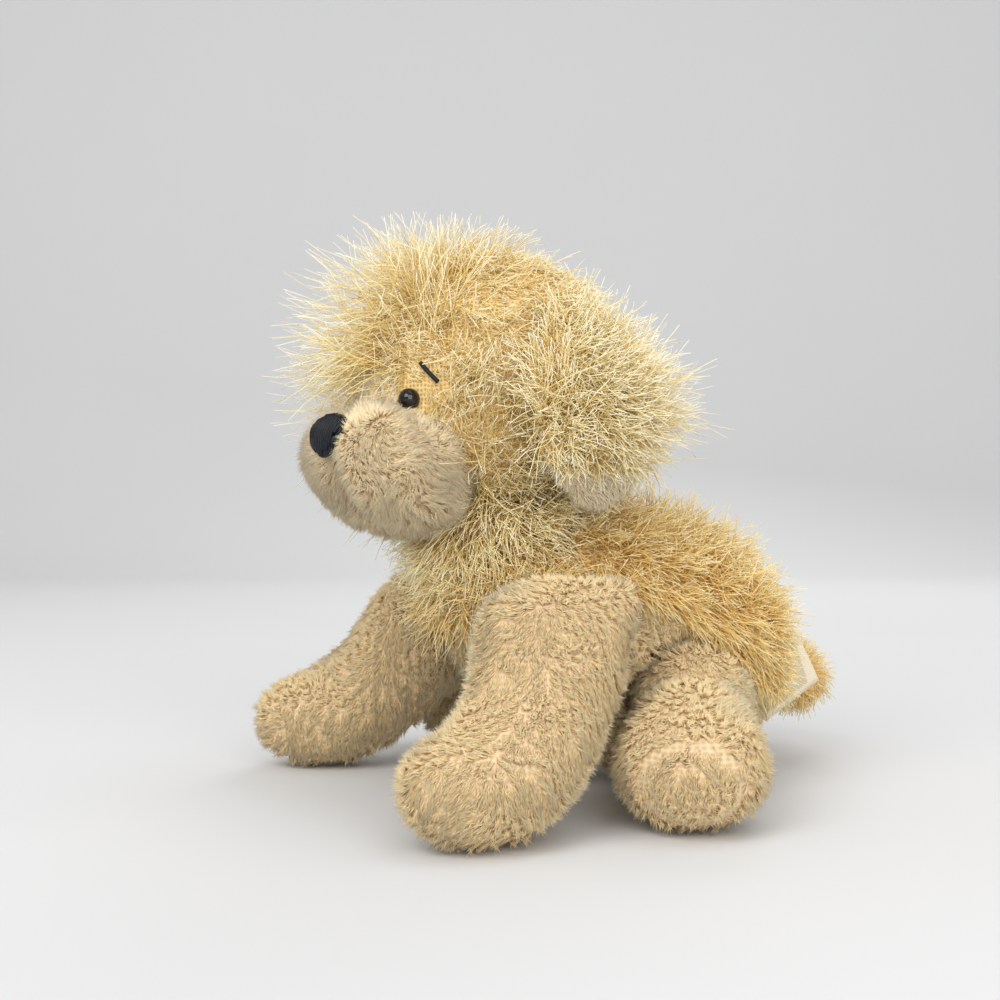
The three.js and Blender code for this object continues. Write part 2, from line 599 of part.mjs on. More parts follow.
const sock = (form, inset) => solid(stuffed(form, inset)).subtract(raisedFloor(inset));
const seatFace = ahead([seatX + FIT_GAP, 0, 0], AXIS_X.clone().negate());
const front = {
  cover: sock(frontLeg, 0).subtract(seatFace).subtract(sock(frontLeg, COVER_WALL)),
  fill: sock(frontLeg, inCover).subtract(seatFace),
};
const hipMouth = bar(hip, AXIS_X.clone().negate(), HIP_RADIUS / 2, TORSO_WIDTH);
function hindForm(inset) {
  const root = ball(hip, HIP_RADIUS - inset, inset > 0 ? SMALL_STEPS : ROUND_STEPS);
  return sock(hindLeg, inset).add(root);
}

const hind = {
  cover: hindForm(0).subtract(hindForm(COVER_WALL).add(hipMouth)),
  fill: hindForm(inCover),
};
front.stuffing = front.fill.subtract(pastShare(frontLeg, FRONT_BAG_START, -FIT_GAP));
front.bag = front.fill.intersect(pastShare(frontLeg, FRONT_BAG_START, 0));
hind.stuffing = hind.fill.subtract(pastShare(hindLeg, HIND_BAG_START, -FIT_GAP));
hind.bag = hind.fill.intersect(pastShare(hindLeg, HIND_BAG_START, 0));
const hindSock = hind.cover.subtract(pastShare(hindLeg, SOLE_START, -FIT_GAP / 2));
const hindSole = hind.cover.intersect(pastShare(hindLeg, SOLE_START, FIT_GAP / 2));
const legs = new THREE.Group();
for (const [name, sign] of Object.entries(SIDES)) {
  legs.add(
    piece(`front_leg_${name}_cover`, front.cover, PLUSH, sign),
    piece(`front_leg_${name}_stuffing`, front.stuffing, FIBRE, sign),
    piece(`front_paw_${name}_pellet_bag`, front.bag, BAG, sign),
    piece(`hind_leg_${name}_cover`, hindSock, PLUSH, sign),
    piece(`hind_paw_${name}_sole`, hindSole, PLUSH, sign),
    piece(`hind_leg_${name}_stuffing`, hind.stuffing, FIBRE, sign),
    piece(`hind_paw_${name}_pellet_bag`, hind.bag, BAG, sign),
  );
}

// Tail: a short plume on a round root, curling to the dog's right
const tailForm = {
  spine: TAIL_CURL.map(([x, y, z]) => tailRoot.clone().add(vector(x, y, z).multiplyScalar(TAIL_LENGTH))),
  across: TAIL_TAPER.map((share) => share * TAIL_RADIUS),
  deep: TAIL_TAPER.map((share) => share * TAIL_RADIUS),
  fullness: TAIL_FULLNESS,
  side: AXIS_Z,
  ...SMALL_FORM,
};
const tailMouth = bar(tailRoot, AXIS_Y.clone().negate(), TAIL_ROOT_RADIUS / 2, TAIL_LENGTH);
function tailShape(inset) {
  const root = ball(tailRoot, TAIL_ROOT_RADIUS - inset, inset > 0 ? SMALL_STEPS : ROUND_STEPS);
  return solid(stuffed(tailForm, inset)).add(root);
}

const tail = new THREE.Group();
tail.add(
  piece("tail_cover", tailShape(0).subtract(tailShape(COVER_WALL).add(tailMouth)), SHAG),
  piece("tail_stuffing", tailShape(inCover), FIBRE),
);

// Label: a bare ribbon whose end is caught in the side seam beside the tail
const labelLean = radians(LABEL_LEAN);
const labelWay = vector(0, Math.cos(labelLean), Math.sin(labelLean));
const labelOutline = new THREE.Shape()
  .moveTo(-LABEL_LENGTH, -LABEL_WIDTH / 2)
  .lineTo(0, -LABEL_WIDTH / 2)
  .lineTo(0, LABEL_WIDTH / 2)
  .lineTo(-LABEL_LENGTH, LABEL_WIDTH / 2);
const ribbon = new THREE.ExtrudeGeometry(labelOutline, { depth: LABEL_THICKNESS, bevelEnabled: false });
ribbon.applyMatrix4(new THREE.Matrix4().makeBasis(labelWay, AXIS_X.clone().cross(labelWay), AXIS_X));
ribbon.translate(LABEL_OFFSET, tailRoot.y + LABEL_END_BACK, tailRoot.z + LABEL_END_RISE);
const torsoRoom = solid(stuffed(torsoForm, -2 * FIT_GAP));
tail.add(piece("label", solid(ribbon).subtract(torsoRoom), RIBBON));

// The head turns on the neck's centre, and the dog stands over the middle of its own outline
const turning = new THREE.Group();
turning.position.copy(neck);
turning.rotation.z = radians(HEAD_TURN);
head.position.copy(neck).negate();
turning.add(head);
const body = new THREE.Group();
body.add(torso, turning, legs, tail);
const dog = new THREE.Group();
dog.add(body);
const box = new THREE.Box3().setFromObject(dog, true);
const middle = box.getCenter(vector(0, 0, 0));
body.position.set(-middle.x, -middle.y, -box.min.z);

export default dog;
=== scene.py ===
import math

import bpy
import numpy as np
from mathutils.bvhtree import BVHTree
from mathutils.kdtree import KDTree
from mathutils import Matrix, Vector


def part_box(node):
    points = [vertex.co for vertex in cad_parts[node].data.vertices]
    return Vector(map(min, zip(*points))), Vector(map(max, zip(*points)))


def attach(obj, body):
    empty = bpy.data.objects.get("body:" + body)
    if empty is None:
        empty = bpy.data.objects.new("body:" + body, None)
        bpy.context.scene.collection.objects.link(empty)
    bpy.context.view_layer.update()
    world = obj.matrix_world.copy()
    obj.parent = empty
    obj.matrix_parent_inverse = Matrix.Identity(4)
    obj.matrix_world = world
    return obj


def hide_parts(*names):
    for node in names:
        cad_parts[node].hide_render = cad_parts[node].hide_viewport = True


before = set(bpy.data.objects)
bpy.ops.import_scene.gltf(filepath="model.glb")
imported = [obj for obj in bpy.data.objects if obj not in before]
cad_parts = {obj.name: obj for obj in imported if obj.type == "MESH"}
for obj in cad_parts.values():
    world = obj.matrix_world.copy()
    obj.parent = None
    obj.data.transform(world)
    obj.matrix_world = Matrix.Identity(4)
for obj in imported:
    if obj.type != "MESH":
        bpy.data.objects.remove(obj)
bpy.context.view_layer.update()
scene = bpy.context.scene

# Torso: a sewn bag of two fabrics, shaggy golden knit over the back and the top of the chest, short
# tan plush below the side seam. Fibre and a bag of pellets fill it, so the cloth swells from its seams.


def alone(piece):
    """Selects one piece and makes it the active one."""
    bpy.ops.object.select_all(action="DESELECT")
    piece.select_set(True)
    bpy.context.view_layer.objects.active = piece


def shaped(piece, kind, **settings):
    """Adds a modifier to a piece and applies it."""
    alone(piece)
    step = piece.modifiers.new(kind.lower(), kind)
    for key, value in settings.items():
        setattr(step, key, value)
    bpy.ops.object.modifier_apply(modifier=step.name)


def points_of(piece):
    """The vertices of a piece and their normals."""
    mesh = piece.data
    spots = np.zeros(len(mesh.vertices) * 3, np.float32)
    mesh.vertices.foreach_get("co", spots)
    facing = np.zeros_like(spots)
    mesh.vertex_normals.foreach_get("vector", facing)
    return spots.reshape(-1, 3).astype(float), facing.reshape(-1, 3).astype(float)


def place(piece, spots):
    """Moves the vertices of a piece."""
    piece.data.vertices.foreach_set("co", np.asarray(spots, np.float32).ravel())
    piece.data.update()


def unit(arrows):
    """Arrows at a length of one."""
    return arrows / np.maximum(np.linalg.norm(arrows, axis=-1, keepdims=True), 1e-12)


def tree_of(piece):
    """The faces of a piece, ready for finding the nearest spot on them."""
    corners = [vertex.co.copy() for vertex in piece.data.vertices]
    return BVHTree.FromPolygons(corners, [tuple(face.vertices) for face in piece.data.polygons])


def middle_of(node):
    """The middle of a CAD node's box."""
    low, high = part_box(node)
    return np.array(low + high) / 2


trees = {node: tree_of(solid) for node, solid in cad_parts.items()}
BOX_MARGIN = 1e-4
FLOOR_GAP = 0.0006  # cloth above the floor
FILLING_PRESSURE = 4
CLOTH_STEPS = 20
EVENING_ROUNDS = 10


def distances(spots, nodes):
    """How far each spot is from each of some CAD nodes."""
    return np.array([[trees[node].find_nearest(spot)[3] for node in nodes] for spot in spots])


def nearest(spots, nodes):
    """For each spot the index of the nearest of some CAD nodes."""
    return distances(spots, nodes).argmin(axis=1)


def hidden(spots, nodes):
    """Which spots lie inside any of some CAD nodes."""
    inside = np.zeros(len(spots), bool)
    for node in nodes:
        low, high = (np.array(corner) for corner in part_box(node))
        near = np.all((spots > low - BOX_MARGIN) & (spots < high + BOX_MARGIN), axis=1)
        for i in np.flatnonzero(near & ~inside):
            spot, facing = trees[node].find_nearest(spots[i])[:2]
            inside[i] = np.dot(spots[i] - np.array(spot), facing) < 0
    return inside


def evened(mesh, values, rounds):
    """Values at the vertices of a mesh, averaged along its edges."""
    pairs = np.zeros(len(mesh.edges) * 2, np.int32)
    mesh.edges.foreach_get("vertices", pairs)
    first, second = pairs.reshape(-1, 2).T
    size = len(mesh.vertices)
    count = np.bincount(pairs, minlength=size)
    for _ in range(rounds):
        total = np.bincount(first, values[second], size) + np.bincount(second, values[first], size)
        values = (values + total / count) / 2
    return values


def stuffed(name, nodes, voxel, swell, depth):
    """A closed padded form over copies of CAD nodes, its cloth swollen by the filling.

    depth gives, for each cover that shows, how far below its outside the cloth lies under its pile.
    """
    bpy.ops.object.select_all(action="DESELECT")
    copies = []
    for node in nodes:
        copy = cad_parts[node].copy()
        copy.data = copy.data.copy()
        copy.parent = None
        for key in list(copy.keys()):
            del copy[key]
        scene.collection.objects.link(copy)
        copy.select_set(True)
        copies.append(copy)
    form = copies[0]
    bpy.context.view_layer.objects.active = form
    bpy.ops.object.join()
    form.name = name
    form.data.materials.clear()
    bpy.ops.object.mode_set(mode="EDIT")
    bpy.ops.mesh.select_all(action="SELECT")
    bpy.ops.mesh.remove_doubles(threshold=1e-5)
    bpy.ops.object.mode_set(mode="OBJECT")
    shaped(form, "REMESH", mode="VOXEL", voxel_size=voxel, use_smooth_shade=True)
    alone(form)
    bpy.ops.mesh.separate(type="LOOSE")
    loose = list(bpy.context.selected_objects)
    form = max(loose, key=lambda piece: len(piece.data.vertices))
    for piece in loose:
        if piece is not form:
            bpy.data.objects.remove(piece)
    form.name = name
    outside = tree_of(form)
    shaped(form, "SMOOTH", factor=0.5, iterations=8)
    if swell:
        rest = points_of(form)[0]
        cloth = form.modifiers.new("cloth", "CLOTH")
        cloth.settings.use_pressure = True
        cloth.settings.uniform_pressure_force = FILLING_PRESSURE
        cloth.settings.effector_weights.gravity = 0
        for step in range(1, CLOTH_STEPS + 1):
            scene.frame_set(step)
        alone(form)
        bpy.ops.object.modifier_apply(modifier="cloth")
        scene.frame_set(1)
        moved = points_of(form)[0] - rest
        far = np.linalg.norm(moved, axis=1, keepdims=True)
        place(form, rest + moved * np.minimum(1, swell / np.maximum(far, 1e-9)))
    shaped(form, "SUBSURF", levels=1, render_levels=1)
    spots, facing = points_of(form)
    wanted = np.array(list(depth.values()))[nearest(spots, list(depth))]
    proud = np.zeros(len(spots))
    for i, spot in enumerate(spots):
        surface, way = outside.find_nearest(spot)[:2]
        proud[i] = np.dot(spot - np.array(surface), way)
    spots -= facing * evened(form.data, proud + wanted, EVENING_ROUNDS)[:, None]
    spots[:, 2] = np.maximum(spots[:, 2], FLOOR_GAP)
    place(form, spots)
    return form


def swollen(form, middle, reach, push):
    """Pushes the cloth out round a spot, less and less with the distance."""
    spots = points_of(form)[0]
    near = np.exp(-((spots - np.array(middle)) ** 2).sum(1) / (2 * reach**2))
    spots += near[:, None] * np.array(push)
    spots[:, 2] = np.maximum(spots[:, 2], FLOOR_GAP)
    place(form, spots)


MM2_PER_M2 = 1e6


def scattered(form, kept, per_mm2, seed):
    """Seeded spots on the faces of a form, with their normals."""
    mesh = form.data
    mesh.calc_loop_triangles()
    spots, facing = points_of(form)
    corners = np.zeros(len(mesh.loop_triangles) * 3, np.int32)
    mesh.loop_triangles.foreach_get("vertices", corners)
    owner = np.zeros(len(mesh.loop_triangles), np.int32)
    mesh.loop_triangles.foreach_get("polygon_index", owner)
    corners = corners.reshape(-1, 3)[kept[owner]]
    a, b, c = (spots[corners[:, i]] for i in range(3))
    area = np.linalg.norm(np.cross(b - a, c - a), axis=1) / 2
    rng = np.random.default_rng(seed)
    count = int(area.sum() * MM2_PER_M2 * per_mm2)
    chosen = rng.choice(len(area), count, p=area / area.sum())
    u, v = rng.random((2, count))
    over = u + v > 1
    u[over], v[over] = 1 - u[over], 1 - v[over]
    share = np.stack([1 - u - v, u, v], 1)[:, :, None]
    return (spots[corners[chosen]] * share).sum(1), unit((facing[corners[chosen]] * share).sum(1))


def faces_on(form, nodes):
    """For each face of a form the index of the CAD node that it covers."""
    middles = np.zeros(len(form.data.polygons) * 3, np.float32)
    form.data.polygons.foreach_get("center", middles)
    return nearest(middles.reshape(-1, 3).astype(float), nodes)


DRIFT_WAVES = 7
WAVE_SPREAD = (0.6, 1.5)


def drift(spots, size, seed):
    """Smooth seeded noise, three numbers a spot, with waves of about a size in metres."""
    rng = np.random.default_rng(seed)
    total = np.zeros((len(spots), 3))
    for _ in range(DRIFT_WAVES):
        wave = unit(rng.normal(size=3)) * 2 * math.pi / size * rng.uniform(*WAVE_SPREAD)
        shift = rng.uniform(0, 2 * math.pi, 3)
        total += np.sin((spots @ wave)[:, None] + shift) * rng.normal(size=3)
    return total / math.sqrt(DRIFT_WAVES)


def meshed(name, corners, faces):
    """A new piece from its corners and faces."""
    mesh = bpy.data.meshes.new(name)
    mesh.from_pydata(corners, [], faces, shade_flat=False)
    piece = bpy.data.objects.new(name, mesh)
    scene.collection.objects.link(piece)
    return piece


STRAND_LENGTHS = (0.7, 1.15)  # shares of the length between which strands differ
STRAND_FLOOR = 0.0003  # lowest point of a strand above the floor
ROOT_SINK = 0.0003  # root of a strand below the cloth
END_LAY = 0.6  # how much further the end of a strand lies along the flow
END_STRAY = 1.9  # how much more it strays than the root
END_DIP = -0.05  # how far it may point into the cloth
CUT_LENGTH = 0.004  # shortest strand where the top of the pile is cut
BOW = 0.024  # sideways curl for each ring, in shares of the length
BOW_TURN = 1.6 * math.pi
TIP_TAPER = 0.3  # share of its width that a bristle loses to its tip
STRAND_CORNERS = (90, 210, 330)  # degrees round a strand
TONES = (0.02, 0.98)
TONE_WIDTH = [-0.004, 0, 0.004]  # corners of a strand to either side of its tone


def pile(name, body, slot, cloth, roots, length, width, rings, lift, stray, fall, seed, top=1.0):
    """Pile strands: pointed where they have one ring at the root, blunt bristles where they have more.

    roots are spots, their normals and the way the pile flows there. lift is how steeply the strands
    leave the cloth, stray how much they differ, fall how much they droop and top where they are cut.
    """
    spots, facing, flow = roots
    rng = np.random.default_rng(seed)
    count = len(spots)
    long = np.broadcast_to(np.asarray(length, float), count) * rng.uniform(*STRAND_LENGTHS, count)
    lay = flow - facing * (flow * facing).sum(1, keepdims=True)
    steep = np.broadcast_to(lift, count)[:, None]
    start = unit(facing * steep + lay + rng.normal(size=(count, 3)) * stray)
    down = np.array([0, 0, -1.0]) * fall
    end = unit(start + lay * END_LAY + down + rng.normal(size=(count, 3)) * stray * END_STRAY)
    end += facing * np.maximum(0, END_DIP - (end * facing).sum(1, keepdims=True))
    rise = np.maximum((start + end)[:, 2] / 2, 1e-3)
    long = np.minimum(long, np.maximum((top - spots[:, 2]) / rise, CUT_LENGTH))[:, None]
    side = unit(np.cross(start, rng.normal(size=(count, 3))))
    bow = rng.normal(size=(count, 1)) * BOW * rings
    steps = np.linspace(0, 1, rings) if rings > 1 else np.zeros(1)
    corners = []
    for t in steps:
        middle = spots - facing * ROOT_SINK + long * (start * (t - t * t / 2) + end * t * t / 2)
        if rings > 1:
            middle = middle + side * long * bow * math.sin(BOW_TURN * t)
        ahead = unit(start * (1 - t) + end * t)
        across = unit(side - ahead * (side * ahead).sum(1, keepdims=True))
        up = np.cross(ahead, across)
        half = width / 2 * (1 - TIP_TAPER * t)
        for turn in STRAND_CORNERS:
            angle = math.radians(turn)
            corners.append(middle + half * (across * math.cos(angle) + up * math.sin(angle)))
    faces = [(2, 1, 0)]
    for k in range(3 * rings - 3):
        a, b = k, k - 2 if k % 3 == 2 else k + 1
        faces += [(a, b, b + 3), (a, b + 3, a + 3)]
    last = 3 * rings - 3
    along = np.repeat(steps, 3)
    if rings > 1:
        faces.append((last, last + 1, last + 2))
    else:
        corners.append(spots + long * (start + end) / 2)
        along = np.append(along, 1)
        faces += [(0, 1, 3), (1, 2, 3), (2, 0, 3)]
    corners = np.stack(corners, 1)
    corners[..., 2] = np.maximum(corners[..., 2], STRAND_FLOOR)
    faces = np.array(faces)
    each = corners.shape[1]
    strands = faces[None] + np.arange(count)[:, None, None] * each
    piece = meshed(name, corners.reshape(-1, 3), strands.reshape(-1, 3))
    tone = rng.uniform(*TONES, count)
    across = tone[:, None] + np.resize(TONE_WIDTH, each)[None]
    places = np.stack([across, np.broadcast_to(along, across.shape)], 2)
    layer = piece.data.uv_layers.new(name="OFBake")
    layer.data.foreach_set("uv", places[:, faces.ravel()].astype(np.float32).ravel())
    piece.data.materials.append(cloth)
    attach(piece, body)


def crossing(spots, seed):
    """Lays short yarn down the cloth on two slants that cross."""
    way = np.where(np.random.default_rng(seed).random(len(spots)) < 0.5, 1, -1)
    slants = np.stack([0.35 * way, 0.55 * way, np.full(len(spots), -0.75)], 1)
    return slants + drift(spots, size=0.03, seed=seed) * 0.3


def tinted(name, roughness):
    """A material with its shader, ready for its pattern."""
    cloth = bpy.data.materials.new(name)
    cloth.use_nodes = True
    shader = cloth.node_tree.nodes["Principled BSDF"]
    shader.inputs["Roughness"].default_value = roughness
    return cloth, cloth.node_tree.nodes, cloth.node_tree.links, shader


def ramp(nodes, stops):
    """A colour ramp with its stops."""
    blend = nodes.new("ShaderNodeValToRGB")
    points = blend.color_ramp.elements
    while len(points) < len(stops):
        points.new(0.5)
    for point, (at, colour) in zip(points, stops):
        point.position = at
        point.color = (*colour, 1)
    return blend


def place_on(nodes, name):
    """Where a point lies on one of a piece's own maps."""
    chart = nodes.new("ShaderNodeUVMap")
    chart.uv_map = name
    return chart.outputs["UV"]


def multiplied(nodes, links, first, second):
    """One colour multiplied by another."""
    both = nodes.new("ShaderNodeMix")
    both.data_type = "RGBA"
    both.blend_type = "MULTIPLY"
    both.inputs["Factor"].default_value = 1
    links.new(first, both.inputs["A"])
    links.new(second, both.inputs["B"])
    return both.outputs["Result"]


def strand_cloth(name, along, tones, roughness, sheen):
    """Yarn coloured from root to tip, darker at the root as painted shade deep in the pile and paler at
    the tip as painted light shining through the yarn, each strand in a tone of its own.
    """
    cloth, nodes, links, shader = tinted(name, roughness)
    shader.inputs["Sheen Weight"].default_value = sheen
    split = nodes.new("ShaderNodeSeparateXYZ")
    links.new(place_on(nodes, "OFBake"), split.inputs["Vector"])
    # The ramp along the strand holds painted shade at the root and painted light at the tip.
    length = ramp(nodes, along)
    links.new(split.outputs["Y"], length.inputs["Fac"])
    tone = ramp(nodes, tones)
    links.new(split.outputs["X"], tone.inputs["Fac"])
    colour = multiplied(nodes, links, length.outputs["Color"], tone.outputs["Color"])
    links.new(colour, shader.inputs["Base Color"])
    return cloth


def backing_cloth(name, stops, height):
    """Knit backing: rows of small dark gaps between its stitches, painted shade in the holes of the knit,
    placed by the map of the knit.
    """
    cloth, nodes, links, shader = tinted(name, roughness=0.85)
    cells = nodes.new("ShaderNodeTexVoronoi")
    cells.voronoi_dimensions = "2D"
    cells.inputs["Scale"].default_value = 1
    cells.inputs["Randomness"].default_value = 0.3
    links.new(place_on(nodes, "knit"), cells.inputs["Vector"])
    # The darkest stop is painted shade in the holes between the stitches.
    colour = ramp(nodes, stops)
    links.new(cells.outputs["Distance"], colour.inputs["Fac"])
    links.new(colour.outputs["Color"], shader.inputs["Base Color"])
    bump = nodes.new("ShaderNodeBump")
    bump.inputs["Distance"].default_value = height
    links.new(cells.outputs["Distance"], bump.inputs["Height"])
    links.new(bump.outputs["Normal"], shader.inputs["Normal"])
    return cloth


def knitted(form, axis, pitch=0.0017):
    """The map of the knit of a form: rows of stitches round an axis of its box."""
    mesh = form.data
    spots = points_of(form)[0]
    spots = spots - (spots.min(0) + spots.max(0)) / 2
    a, b = (i for i in range(3) if i != axis)
    angle = np.arctan2(spots[:, b], spots[:, a])
    owner = np.zeros(len(mesh.loops), np.int32)
    mesh.loops.foreach_get("vertex_index", owner)
    sizes = np.zeros(len(mesh.polygons), np.int32)
    mesh.polygons.foreach_get("loop_total", sizes)
    base = np.repeat(angle[owner[np.cumsum(sizes) - sizes]], sizes)
    turn = base + (angle[owner] - base + math.pi) % (2 * math.pi) - math.pi
    reach = np.hypot(spots[:, a], spots[:, b]).mean()
    layer = mesh.uv_layers.new(name="knit")
    places = np.stack([turn * reach, spots[owner, axis]], 1) / pitch
    layer.data.foreach_set("uv", places.astype(np.float32).ravel())


SHAG_WIDTH = 0.00036
SHAG_TOP = 0.2040  # about where the tallest strands are cut
SHAG_ROOM = 0.003  # a strand grows where the cloth has this much room over it
PLUSH_ROOM = 0.002
UNDERCOAT = {"width": 0.00034, "rings": 3, "stray": 0.3, "fall": 0}
PLUSH = {"length": 0.0046, "width": 0.00055, "rings": 1, "lift": 0.62, "stray": 0.14, "fall": 0.05}
PLUSH_DEPTH = 0.0018  # backing below the cover's outside
TUFT_SIZE = 0.0026
TUFT_STRANDS = 20
TUFT_PULL = 0.8
UNDERSIDE = -0.65  # plush that faces further down has a third of the strands


def gathered(spots, each, seed):
    """Leans strands to the middle of their tuft, a tuft having some number of strands."""
    chosen = np.random.default_rng(seed).choice(len(spots), len(spots) // each, replace=False)
    tree = KDTree(len(chosen))
    for i, spot in enumerate(spots[chosen]):
        tree.insert(spot, i)
    tree.balance()
    return (np.array([tree.find(spot)[0] for spot in spots]) - spots) / TUFT_SIZE


def unthinned(facing):
    """Which plush strands are kept: a third of those on an underside, and all the others."""
    return (facing[:, 2] > UNDERSIDE) | (np.arange(len(facing)) % 3 == 0)


# In the golden yarn and the tan plush, as in every yarn, the darker root is painted shade deep in the pile
# and the paler tip painted light shining through the yarn.
shag = strand_cloth(
    "golden_yarn",
    [(0, (0.94, 0.60, 0.18)), (0.4, (0.97, 0.67, 0.23)), (0.75, (0.98, 0.78, 0.35)), (1, (1, 0.91, 0.60))],
    [(0, (0.86, 0.76, 0.60)), (0.5, (0.97, 0.93, 0.84)), (1, (1, 1, 1))],
    roughness=0.38,
    sheen=0.05,
)
plush = strand_cloth(
    "tan_plush",
    [(0, (0.66, 0.45, 0.21)), (0.5, (0.88, 0.68, 0.37)), (1, (0.94, 0.81, 0.52))],
    [(0, (0.88, 0.85, 0.80)), (0.5, (0.97, 0.965, 0.95)), (1, (1, 1, 1))],
    roughness=0.75,
    sheen=0.2,
)
# The first stop of each backing is the painted shade in its holes.
knit = backing_cloth(
    "golden_knit",
    [(0.12, (0.48, 0.29, 0.09)), (0.32, (0.73, 0.51, 0.20)), (0.7, (0.84, 0.63, 0.29))],
    height=0.0006,
)
felt = backing_cloth(
    "plush_backing",
    [(0.1, (0.50, 0.37, 0.21)), (0.6, (0.72, 0.55, 0.34))],
    height=0.0003,
)

LEGS = [
    f"{end}_{piece}"
    for end in ("front", "hind")
    for side in ("left", "right")
    for piece in (
        [f"leg_{side}_cover", f"leg_{side}_stuffing", f"paw_{side}_pellet_bag"]
        + ([f"paw_{side}_sole"] if end == "hind" else [])
    )
]
HEAD = ["head_cover", "muzzle_cover", "chin_panel", "head_stuffing"]
TRUNK = ["back_cover", "belly_panel", "body_stuffing", "seat_pellet_bag"]

depth = {"back_cover": 0, "belly_panel": PLUSH_DEPTH}
torso = stuffed("torso_skin", TRUNK, voxel=0.004, swell=0.003, depth=depth)
torso.data.materials.append(knit)
torso.data.materials.append(felt)
knitted(torso, axis=1)
torso_face = faces_on(torso, ["back_cover", "belly_panel"])
torso.data.polygons.foreach_set("material_index", torso_face.astype(np.int32))
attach(torso, "torso")
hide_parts(*TRUNK)

TAIL = ["tail_cover", "tail_stuffing"]
BACK_LENGTH = 0.0185
LABEL_ROOM = [0.030, 0.020, 0.022]  # where the back's yarn is shorter and lies away from the label
spots, facing = scattered(torso, torso_face == 0, per_mm2=0.95, seed=11)
clear = ~hidden(spots + facing * SHAG_ROOM, LEGS + HEAD + ["neck_stuffing"] + TAIL)
spots, facing = spots[clear], facing[clear]
by_tag = np.exp(-(((spots - middle_of("label")) / LABEL_ROOM) ** 2).sum(1))
under = np.arange(len(spots)) % 2 == 0
flow = crossing(spots, seed=12)
roots = spots[under], facing[under], flow[under]
pile("back_undercoat", "torso", "shag", shag, roots, length=0.0095, lift=0.35, seed=14, **UNDERCOAT)
flow = np.array([0, 0.3, -0.3]) + drift(spots, size=0.038, seed=12) * 0.35
flow = flow + drift(spots, size=0.011, seed=15) * 0.3
flow -= by_tag[:, None] * [0, 0.9, -0.2]
long = BACK_LENGTH * (1 - 0.65 * by_tag)
pile(
    "back_shag",
    "torso",
    "shag",
    shag,
    (spots[~under], facing[~under], flow[~under]),
    length=long[~under],
    width=SHAG_WIDTH,
    rings=4,
    lift=0.65,
    stray=0.25,
    fall=0.15,
    seed=13,
)

spots, facing = scattered(torso, torso_face == 1, per_mm2=2.6, seed=21)
clear = ~hidden(spots + facing * PLUSH_ROOM, LEGS + ["neck_stuffing"]) & unthinned(facing)
spots, facing = spots[clear], facing[clear]
flow = np.array([0, 0.2, -0.7]) + drift(spots, size=0.03, seed=22) * 0.5
flow = flow + gathered(spots, TUFT_STRANDS, seed=24) * TUFT_PULL
pile("belly_plush", "torso", "plush", plush, (spots, facing, flow), seed=23, **PLUSH)

# Front legs: sewn tubes of tan plush with rounded paws, filled with fibre and, in the paw, pellets.
# Each is sewn flat to the side of the chest, where it swings. The left one is fuller at its shoulder
# and at the bend above its paw.
for side, sign in (("left", 1), ("right", -1)):
    nodes = [f"front_leg_{side}_cover", f"front_leg_{side}_stuffing", f"front_paw_{side}_pellet_bag"]
    body = f"front_leg_{side}"
    leg = stuffed(f"{body}_skin", nodes, voxel=0.0035, swell=0.003, depth={nodes[0]: PLUSH_DEPTH})
    if side == "left":
        swollen(leg, middle=(0.061, -0.024, 0.073), reach=0.008, push=(0, 0.012, 0.007))
        swollen(leg, middle=(0.062, -0.072, 0.070), reach=0.011, push=(0, -0.004, 0.006))
    knitted(leg, axis=2)
    leg.data.materials.append(felt)
    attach(leg, body)
    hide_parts(*nodes)
    spots, facing = scattered(leg, np.ones(len(leg.data.polygons), bool), per_mm2=3.0, seed=31)
    clear = ~hidden(spots + facing * PLUSH_ROOM, TRUNK) & unthinned(facing)
    spots, facing = spots[clear], facing[clear]
    mirror = [sign, 1, 1]
    flow = np.array([0.25 * sign, -0.45, -0.55])
    flow = flow + drift(spots * mirror, size=0.028, seed=32) * 0.55 * mirror
    flow += gathered(spots, TUFT_STRANDS, seed=34) * TUFT_PULL
    pile(f"{body}_plush", body, "plush", plush, (spots, facing, flow), seed=33, **PLUSH)

# Hind legs: short tubes of tan plush that lie out to the side, each ending in a round sole panel
# sewn into its rim, where the plush parts. They turn at a round root in the hip.
SEAM_GAP = 0.0005
SEAM_REACH = 0.0025  # how far from the seam the plush leans away from it
for side, sign in (("left", 1), ("right", -1)):
    nodes = [
        f"hind_leg_{side}_cover",
        f"hind_paw_{side}_sole",
        f"hind_leg_{side}_stuffing",
        f"hind_paw_{side}_pellet_bag",
    ]
    body = f"hind_leg_{side}"
    leg = stuffed(f"{body}_skin", nodes, voxel=0.0035, swell=0.003, depth={nodes[0]: PLUSH_DEPTH})
    knitted(leg, axis=2)
    leg.data.materials.append(felt)
    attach(leg, body)
    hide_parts(*nodes)
    spots, facing = scattered(leg, np.ones(len(leg.data.polygons), bool), per_mm2=3.0, seed=41)
    clear = ~hidden(spots + facing * PLUSH_ROOM, TRUNK) & unthinned(facing)
    spots, facing = spots[clear], facing[clear]
    from_cover, from_sole = distances(spots, nodes[:2]).T
    past_seam = from_cover - from_sole
    off_seam = np.abs(past_seam) > SEAM_GAP
    spots, facing, past_seam = spots[off_seam], facing[off_seam], past_seam[off_seam]
    mirror = [sign, 1, 1]
    flow = np.array([0.3 * sign, -0.15, -0.6])
    flow = flow + drift(spots * mirror, size=0.028, seed=42) * 0.55 * mirror
    by_seam = np.exp(-np.abs(past_seam) / SEAM_REACH) * np.where(past_seam > 0, -1, 1)
    flow += unit(spots - middle_of(nodes[1])) * by_seam[:, None] * 0.9
    flow += gathered(spots, TUFT_STRANDS, seed=44) * TUFT_PULL
    pile(f"{body}_plush", body, "plush", plush, (spots, facing, flow), seed=43, **PLUSH)

